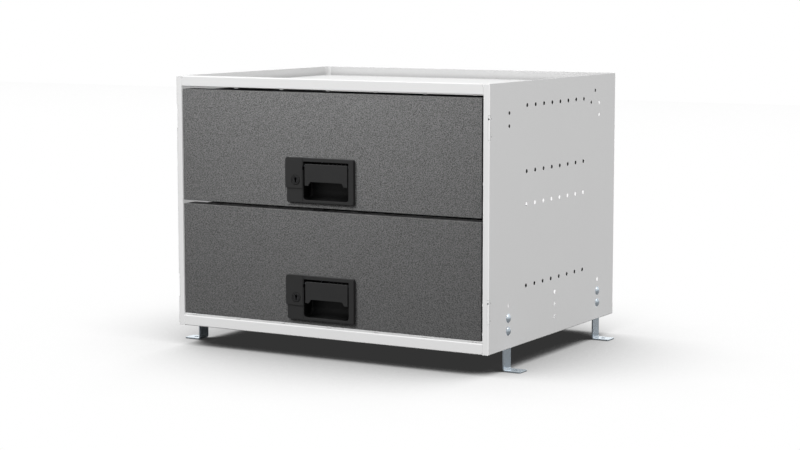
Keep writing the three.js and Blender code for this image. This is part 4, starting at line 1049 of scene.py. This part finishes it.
def lock_barrel():
    """Lock barrel as a turned ring: a wide face, a sleeve behind it and the bore of the plug."""
    low, high = span("lock_barrel_lower")
    lock_x, _, lock_z = middle("lock_barrel_lower")
    face = low[1]
    shoulder = span("handle_housing_lower")[0][1] - SEAM
    bore, wide, sleeve = BARREL_BORE, BARREL_FACE, BARREL_SLEEVE
    profile = [
        (bore, high[1]),
        (sleeve, high[1]),
        (sleeve, shoulder),
        (wide, shoulder),
        (wide, face + 0.5),
        (wide - 0.15, face + 0.15),
        (wide - 0.5, face),
        (bore + 0.5, face),
        (bore + 0.12, face + 0.15),
        (bore, face + 0.5),
    ]
    return lathe(profile, "y", lock_x, lock_z, 56, ring=True)


def lock_plug():
    """Plug of the lower lock with a pear-shaped keyway, and the cam on its tail."""
    low, high = span("lock_plug_lower")
    lock_x, _, lock_z = middle("lock_barrel_lower")
    face, tail = span("lock_barrel_lower")[0][1], high[1]
    profile = [
        (PLUG_RADIUS - 0.6, face),
        (PLUG_RADIUS - 0.2, face + 0.12),
        (PLUG_RADIUS, face + 0.5),
        (PLUG_RADIUS, tail - 0.4),
        (PLUG_RADIUS - 0.4, tail),
    ]
    plug = lathe(profile, "y", lock_x, lock_z, 56)
    right = [(lock_x + x, lock_z + z, radius) for x, z, radius in KEYWAY_HALF]
    left = [(lock_x - x, lock_z + z, radius) for x, z, radius in KEYWAY_HALF[::-1]]
    way = np.array([left[-1], *right, *left[:-1]])
    way = rounded(way[:, :2], way[:, 2])
    plug = carved(plug, cuts=[prism(way, "y", face - 1, face + KEYWAY_DEPTH)])
    cam = slab(about(lock_x, CAM_REACH), (tail - 3, tail), (low[2], lock_z), 0.4, "y", 2.5)
    return carved(plug, [cam])


def paddle():
    """Lower paddle: a plate with two ears, a grip folded back, a ribbed hub and an arm."""
    low, high = span("paddle_lower")
    cup_low, cup_high = cup_place()
    _, pivot_y, pivot_z = middle("paddle_pin_lower")
    left, right, plate_face = low[0], high[0], low[1]
    top = pivot_z + PADDLE_TOP
    bottom = top - PADDLE_HEIGHT
    ear = bottom - EAR_DROP
    slant = EAR_WIDTH + EAR_SLANT
    edge = [(0, ear), (EAR_WIDTH, ear), (slant, bottom)]
    corners = [(left + x, z) for x, z in edge] + [(right - x, z) for x, z in edge[::-1]]
    corners += [(right, top), (left, top)]
    outline = rounded(corners, (1.5, 1.5, 2.0, 2.0, 1.5, 1.5, 1.5, 1.5), 5)
    plate_back = plate_face + PADDLE_SHEET
    solid = prism(outline, "y", plate_face, plate_back, 0.9, 0.5, 4)
    grip_width = (left + slant + 1, right - slant - 1)
    grip_depth = (plate_back - 1.5, plate_back + 9)
    grip = slab(grip_width, grip_depth, (bottom + 0.2, bottom + 2.4), 0.8, "x")
    soft_hub = HUB_RADIUS - 0.5
    hub = [(soft_hub, left), (HUB_RADIUS, left + 0.5), (HUB_RADIUS, right - 0.5), (soft_hub, right)]
    adds = [grip, lathe(hub, "x", pivot_y, pivot_z, 32)]
    last_rib = (RIB_COUNT - 1) / 2 * RIB_PITCH
    for x in cup_high[0] - RIB_INSET - last_rib + row(RIB_COUNT, RIB_PITCH):
        rib = (about(x, 1.1), (plate_face + 2, pivot_y), (pivot_z, top + 2))
        adds.append(slab(*rib, 0.35, "x", 1.2))
    pocket = pin_bar(POCKET_RADIUS, about(cup_low[0] + SPRING_PLACE, POCKET_REACH))
    arm_x = middle("latch_rod_lower")[0]
    arm = slab(about(arm_x, 4), (pivot_y, high[1]), about(pivot_z, 2), 0.6, "y", 1.0)
    solid = carved(carved(solid, adds), cuts=[pocket])
    return carved(carved(solid, [arm]), cuts=[pin_bar(PIN_BORE, (left - 1, right + 1))])


def paddle_spring():
    """Torsion spring of the lower paddle: a helix of radius r whose x grows evenly with its angle,
    with a straight leg at each end."""
    cup_low, cup_high = cup_place()
    _, pivot_y, pivot_z = middle("paddle_pin_lower")
    turn = np.linspace(0, SPRING_TURNS, 140)
    angle = math.pi / 2 + 2 * math.pi * turn
    x = cup_low[0] + SPRING_PLACE + SPRING_PITCH * (turn - SPRING_TURNS / 2)
    y = pivot_y - SPRING_RADIUS * np.cos(angle)
    coil = np.stack([x, y, pivot_z + SPRING_RADIUS * np.sin(angle)], 1)
    first = np.array([[coil[0, 0], coil[0, 1] + SPRING_LEG, cup_high[1] - 0.75]])
    plate_back = span("paddle_lower")[0][1] + PADDLE_SHEET
    last = np.array([[coil[-1, 0], plate_back + 0.75, coil[-1, 2] - SPRING_LEG]])
    return tube(np.concatenate([first, coil, last]), WIRE_RADIUS)


# ---------------------------------------------------------------- settings


def number(name, default, description, **more):
    return bpy.props.FloatProperty(name=name, description=description, default=default, **more)


def vector(name, default, description, subtype, **more):
    return bpy.props.FloatVectorProperty(
        name=name, description=description, default=default, subtype=subtype, size=3, **more
    )


def colour_setting(name, default, description):
    return vector(name, default, description, "COLOR", min=0.0, max=1.0)


class CabinetLook(bpy.types.PropertyGroup):
    """Colours and grain of the finishes. Sizes of grains are in millimetres."""

    pale_coat: colour_setting("Pale coat", (0.64, 0.64, 0.64), "Powder coat of the carcass")
    dark_coat: colour_setting("Dark coat", (0.056, 0.056, 0.056), "Powder coat of the drawers")
    plastic: colour_setting("Plastic", (0.043, 0.043, 0.0433), "Handles and paddles")
    zinc: colour_setting("Zinc", (0.56, 0.63, 0.69), "Plated fittings")
    black_zinc: colour_setting("Black zinc", (0.03, 0.03, 0.032), "Lock plugs and latch catches")
    pale_roughness: number("Pale coat roughness", 0.5, "Blur of the pale coat's gloss")
    zinc_metallic: number("Zinc metal share", 0.6, "How metallic the plating looks")
    zinc_roughness: number("Zinc roughness", 0.14, "Blur of the plating's gloss")
    peel_height: number("Orange peel", 0.02, "Height of the pale coat's peel, in millimetres")
    pebble_size: number("Pebble size", 1.8, "Width of a grain of the dark coat, in millimetres")
    pebble_height: number("Pebble height", 0.5, "Height of the dark coat's grains, in millimetres")
    pebble_contrast: number("Pebble contrast", 0.62, "How far the tone varies over a grain")


class CabinetStage(bpy.types.PropertyGroup):
    """Camera, lamps and floor of the picture. A level of 1 shows a colour as written."""

    camera_place: vector(
        "Camera place",
        (2.1601, -3.7425, 0.7614),
        "Where the camera stands",
        "TRANSLATION",
        unit="LENGTH",
    )
    azimuth: number(
        "Azimuth", math.radians(29.948), "Turn of the camera round the object", subtype="ANGLE"
    )
    elevation: number(
        "Elevation", math.radians(6.732), "Height of the camera's line of sight", subtype="ANGLE"
    )
    lens: number("Lens", 89.9, "Focal length in mm")
    ambient: number("Ambient light", 0.35, "Strength of the even light from all round")
    key_power: number("Key power", 95.0, "Power of the drawers' lamp, high in front", unit="POWER")
    key_way: vector("Key direction", (-0.28, -0.55, 0.45), "Direction of that lamp", "DIRECTION")
    near_power: number("Near power", 15.0, "Power of the drawers' near lamp", unit="POWER")
    near_way: vector(
        "Near direction", (-0.1, -0.9, 0.7), "Direction of the near and the strip lamp", "DIRECTION"
    )
    strip_power: number("Strip power", 3.4, "Power of the carcass's wide, near lamp", unit="POWER")
    steep_power: number("Steep power", 174.0, "Power of the handles' own lamp", unit="POWER")
    steep_way: vector("Steep direction", (-0.3, -0.35, 0.9), "Direction of that lamp", "DIRECTION")
    side_power: number("Side power", 25.0, "Power of the fittings' side lamp", unit="POWER")
    side_way: vector("Side direction", (1, 0.1, 0.8), "Direction of that lamp", "DIRECTION")
    open_top: number("Open top", 1.5, "Level of the fittings' even light, from straight above")
    open_sky: number("Open sky", 0.13, "Level of the carcass's even light, from straight above")
    open_key: number("Open key", 0.395, "Level of the carcass's even light, from high in front")
    open_fill: number("Open fill", 0.867, "Level of the carcass's even light, from the right")
    floor_glow: number("Floor glow", 0.18, "Brightness with which the floor lights the object")
    floor_gloss: number("Floor gloss", 0.42, "Brightness of the floor in reflections")


# ---------------------------------------------------------------- operators


class CABINET_OT_side_panels(bpy.types.Operator):
    """Make the two punched side panels"""

    bl_idname = "cabinet.side_panels"
    bl_label = "Side panels"

    def execute(self, context):
        both_sides(side_panel(), "side_panel_{}")
        return {"FINISHED"}


class CABINET_OT_pans(bpy.types.Operator):
    """Make the tray on top and the base pan"""

    bl_idname = "cabinet.pans"
    bl_label = "Tray and base"

    def execute(self, context):
        add_piece(pan(is_base=False), "top_tray")
        add_piece(pan(is_base=True), "base_pan")
        return {"FINISHED"}


class CABINET_OT_feet(bpy.types.Operator):
    """Make the foot brackets and their cup-head bolts"""

    bl_idname = "cabinet.feet"
    bl_label = "Foot brackets and bolts"

    def execute(self, context):
        bracket, bolt = foot_bracket(), foot_bolt()
        front, rear = (span(f"foot_bracket_{place}_right")[0][1] for place in PLACES)
        lower, upper = (span(f"foot_bolt_front_right_{rank}")[0][2] for rank in LEVELS)
        for place, shift in zip(PLACES, (0.0, rear - front)):
            both_sides(bracket.moved(y=shift), f"foot_bracket_{place}_{{}}")
            for rank, lift in zip(LEVELS, (0.0, upper - lower)):
                both_sides(bolt.moved(y=shift, z=lift), f"foot_bolt_{place}_{{}}_{rank}")
        return {"FINISHED"}


class CABINET_OT_drawers(bpy.types.Operator):
    """Make the drawer fronts and the drawer boxes"""

    bl_idname = "cabinet.drawers"
    bl_label = "Drawers"

    def execute(self, context):
        both_levels(drawer_front(), "drawer_front")
        both_levels(drawer_box(), "drawer_box")
        return {"FINISHED"}


class CABINET_OT_handles(bpy.types.Operator):
    """Make the handle housings, lock covers, paddles and paddle springs"""

    bl_idname = "cabinet.handles"
    bl_label = "Handles"

    def execute(self, context):
        both_levels(handle_housing(), "handle_housing")
        both_levels(lock_cover(), "lock_cover")
        both_levels(paddle(), "paddle")
        both_levels(paddle_spring(), "paddle_spring")
        return {"FINISHED"}


class CABINET_OT_locks(bpy.types.Operator):
    """Make the lock barrels and plugs"""

    bl_idname = "cabinet.locks"
    bl_label = "Locks"

    def execute(self, context):
        both_levels(lock_barrel(), "lock_barrel")
        both_levels(lock_plug(), "lock_plug")
        return {"FINISHED"}


class CABINET_OT_fittings(bpy.types.Operator):
    """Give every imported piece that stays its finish"""

    bl_idname = "cabinet.fittings"
    bl_label = "Fittings that stay"

    def execute(self, context):
        for name, node in frame["nodes"].items():
            node.data.materials.clear()
            node.data.materials.append(FINISHES[SLOTS[name]])
        return {"FINISHED"}


LIT_TOGETHER = (
    ("pale_grey_powder_coat",),
    ("dark_grey_powder_coat",),
    ("black_plastic", "black_zinc"),
    ("zinc_plate",),
)
UP = (0, 0, 1)
HIGH_IN_FRONT = (0.087, -0.442, 0.54)
FROM_RIGHT = (1, -1, 1)
FAR = 4.0
NEAR = 1.14
SUN_DISTANCE = 6.0
AIM_HEIGHT = 0.3
FLOOR_REACH = 9000.0
FLOOR_DEPTH = 20.0
FLOOR_SHELTER = 5.0
SHELTERED_TONES = ((0.25, 0.033), (0.30, 0.074), (0.36, 0.17), (0.48, 0.43))
OPEN_TONES = ((0.54, 0.521), (0.70, 0.776), (0.80, 0.92), (0.88, 1.0))


class CABINET_OT_stage(bpy.types.Operator):
    """Make the floor, the lamps, the world and the camera"""

    bl_idname = "cabinet.stage"
    bl_label = "Stage"

    def execute(self, context):
        scene = context.scene
        stage = scene.cabinet_stage
        reach = about(0, FLOOR_REACH)
        slab_mesh = slab(reach, reach, (-FLOOR_DEPTH, 0)).mesh("floor", 1 / MM)
        floor = bpy.data.objects.new("floor", slab_mesh)
        scene.collection.objects.link(floor)
        floor.data.materials.append(self.floor_finish(stage))
        self.make_world(scene, stage)
        pale, dark, plastic, plated = (self.pieces_in(scene, slots) for slots in LIT_TOGETHER)
        self.lamp(scene, "key", stage.key_way, FAR, (1.2, 1.2), stage.key_power, dark)
        self.lamp(scene, "near", stage.near_way, NEAR, (1.0, 1.0), stage.near_power, dark)
        self.lamp(scene, "strip", stage.near_way, NEAR, (3.4, 0.4), stage.strip_power, pale)
        self.lamp(scene, "steep", stage.steep_way, FAR, (3.0, 3.0), stage.steep_power, plastic)
        self.lamp(scene, "side", stage.side_way, FAR, (1.5, 1.5), stage.side_power, plated)
        self.sun(scene, "open top", UP, stage.open_top, plated, shadow=True)
        self.sun(scene, "open sky", UP, stage.open_sky, pale)
        self.sun(scene, "open key", HIGH_IN_FRONT, stage.open_key, pale)
        self.sun(scene, "open fill", FROM_RIGHT, stage.open_fill, pale)
        view = bpy.data.cameras.new("camera")
        view.sensor_width = 36.0
        view.lens = stage.lens
        view.clip_end = 50.0
        camera = bpy.data.objects.new("camera", view)
        camera.location = stage.camera_place
        camera.rotation_euler = (math.pi / 2 - stage.elevation, 0, stage.azimuth)
        scene.collection.objects.link(camera)
        scene.camera = camera
        scene.view_settings.view_transform = "Standard"
        return {"FINISHED"}

    def pieces_in(self, scene, slots):
        """The pieces that wear the given finishes."""
        wanted = [FINISHES[slot] for slot in slots]
        meshes = [obj for obj in scene.objects if obj.type == "MESH"]
        return [obj for obj in meshes if obj.data.materials and obj.data.materials[0] in wanted]

    def aimed(self, scene, light, way, distance, receivers):
        """Turn a light from its direction towards the object, and let it reach only some pieces."""
        lamp = bpy.data.objects.new(light.name, light)
        way = np.array(way) / np.linalg.norm(way)
        lamp.location = tuple(way * distance + (0, 0, AIM_HEIGHT))
        lamp.rotation_euler = (math.acos(way[2]), 0, math.atan2(way[0], -way[1]))
        scene.collection.objects.link(lamp)
        reached = bpy.data.collections.new(light.name + " reaches")
        for obj in receivers:
            reached.objects.link(obj)
        lamp.light_linking.receiver_collection = reached
        return lamp

    def lamp(self, scene, name, way, distance, size, power, receivers):
        """Soft lamp of a width and a height, that casts shadows."""
        light = bpy.data.lights.new(name, "AREA")
        light.shape = "ELLIPSE"
        light.size, light.size_y = size
        light.energy = power
        self.aimed(scene, light, way, distance, receivers)

    def sun(self, scene, name, way, level, receivers, shadow=False):
        """Even light. Without shadows it has no gleam either, so pale sheet stays below white."""
        light = bpy.data.lights.new(name, "SUN")
        light.energy = math.pi * level
        light.use_shadow = shadow
        self.aimed(scene, light, way, SUN_DISTANCE, receivers).visible_glossy = shadow

    def floor_finish(self, stage):
        """Plain white floor, with a painted shadow where the object hides the sky. It passes on
        less light.
        """
        finish = Finish("floor")
        # Painted shadow: ambient occlusion sets how brightly the floor glows.
        painted_shade = finish.node(
            "ShaderNodeAmbientOcclusion", {"samples": 16}, {"Distance": FLOOR_SHELTER}
        )
        tone = finish.ramp(painted_shade.outputs["AO"], SHELTERED_TONES + OPEN_TONES)
        camera, clear, glossy = finish.rays("Camera", "Transmission", "Glossy")
        glow = stage.floor_glow
        passed_on = (camera + clear) * (1 - glow) + glossy * (stage.floor_gloss - glow) + glow
        light = finish.node("ShaderNodeEmission", values={"Strength": tone * passed_on})
        finish.node("ShaderNodeOutputMaterial", values={"Surface": light.outputs[0]})
        return finish.material

    def make_world(self, scene, stage):
        """Even light from all round, which is white to the eye and in reflections."""
        world = bpy.data.worlds.new("studio")
        world.use_nodes = True
        scene.world = world
        nodes = Nodes(world.node_tree)
        camera, glossy, clear = nodes.rays("Camera", "Glossy", "Transmission")
        ambient, white = (
            nodes.node("ShaderNodeBackground", values={"Color": (1, 1, 1, 1), "Strength": level})
            for level in (stage.ambient, 1.0)
        )
        seen = camera.larger(glossy).larger(clear)
        values = {0: seen, 1: ambient.outputs[0], 2: white.outputs[0]}
        mix = nodes.node("ShaderNodeMixShader", values=values)
        nodes.node("ShaderNodeOutputWorld", values={"Surface": mix.outputs[0]})


OPERATORS = (
    CABINET_OT_fittings,
    CABINET_OT_side_panels,
    CABINET_OT_pans,
    CABINET_OT_feet,
    CABINET_OT_drawers,
    CABINET_OT_handles,
    CABINET_OT_locks,
    CABINET_OT_stage,
)


class CABINET_PT_panel(bpy.types.Panel):
    """Lists the makers of the cabinet's pieces and their settings"""

    bl_idname = "CABINET_PT_panel"
    bl_label = "Cabinet"
    bl_space_type = "VIEW_3D"
    bl_region_type = "UI"
    bl_category = "Cabinet"

    def draw(self, context):
        for group in (context.scene.cabinet_look, context.scene.cabinet_stage):
            box = self.layout.box()
            for key in group.__annotations__:
                box.prop(group, key)
        for operator in OPERATORS:
            self.layout.operator(operator.bl_idname)


CLASSES = (CabinetLook, CabinetStage, *OPERATORS, CABINET_PT_panel)


def register():
    for each in CLASSES:
        bpy.utils.register_class(each)
    bpy.types.Scene.cabinet_look = bpy.props.PointerProperty(type=CabinetLook)
    bpy.types.Scene.cabinet_stage = bpy.props.PointerProperty(type=CabinetStage)


def unregister():
    del bpy.types.Scene.cabinet_stage
    del bpy.types.Scene.cabinet_look
    for each in reversed(CLASSES):
        bpy.utils.unregister_class(each)


def main():
    register()
    make_finishes(bpy.context.scene.cabinet_look)
    for operator in OPERATORS:
        family, name = operator.bl_idname.split(".")
        getattr(getattr(bpy.ops, family), name)()


if __name__ == "__main__":
    main()
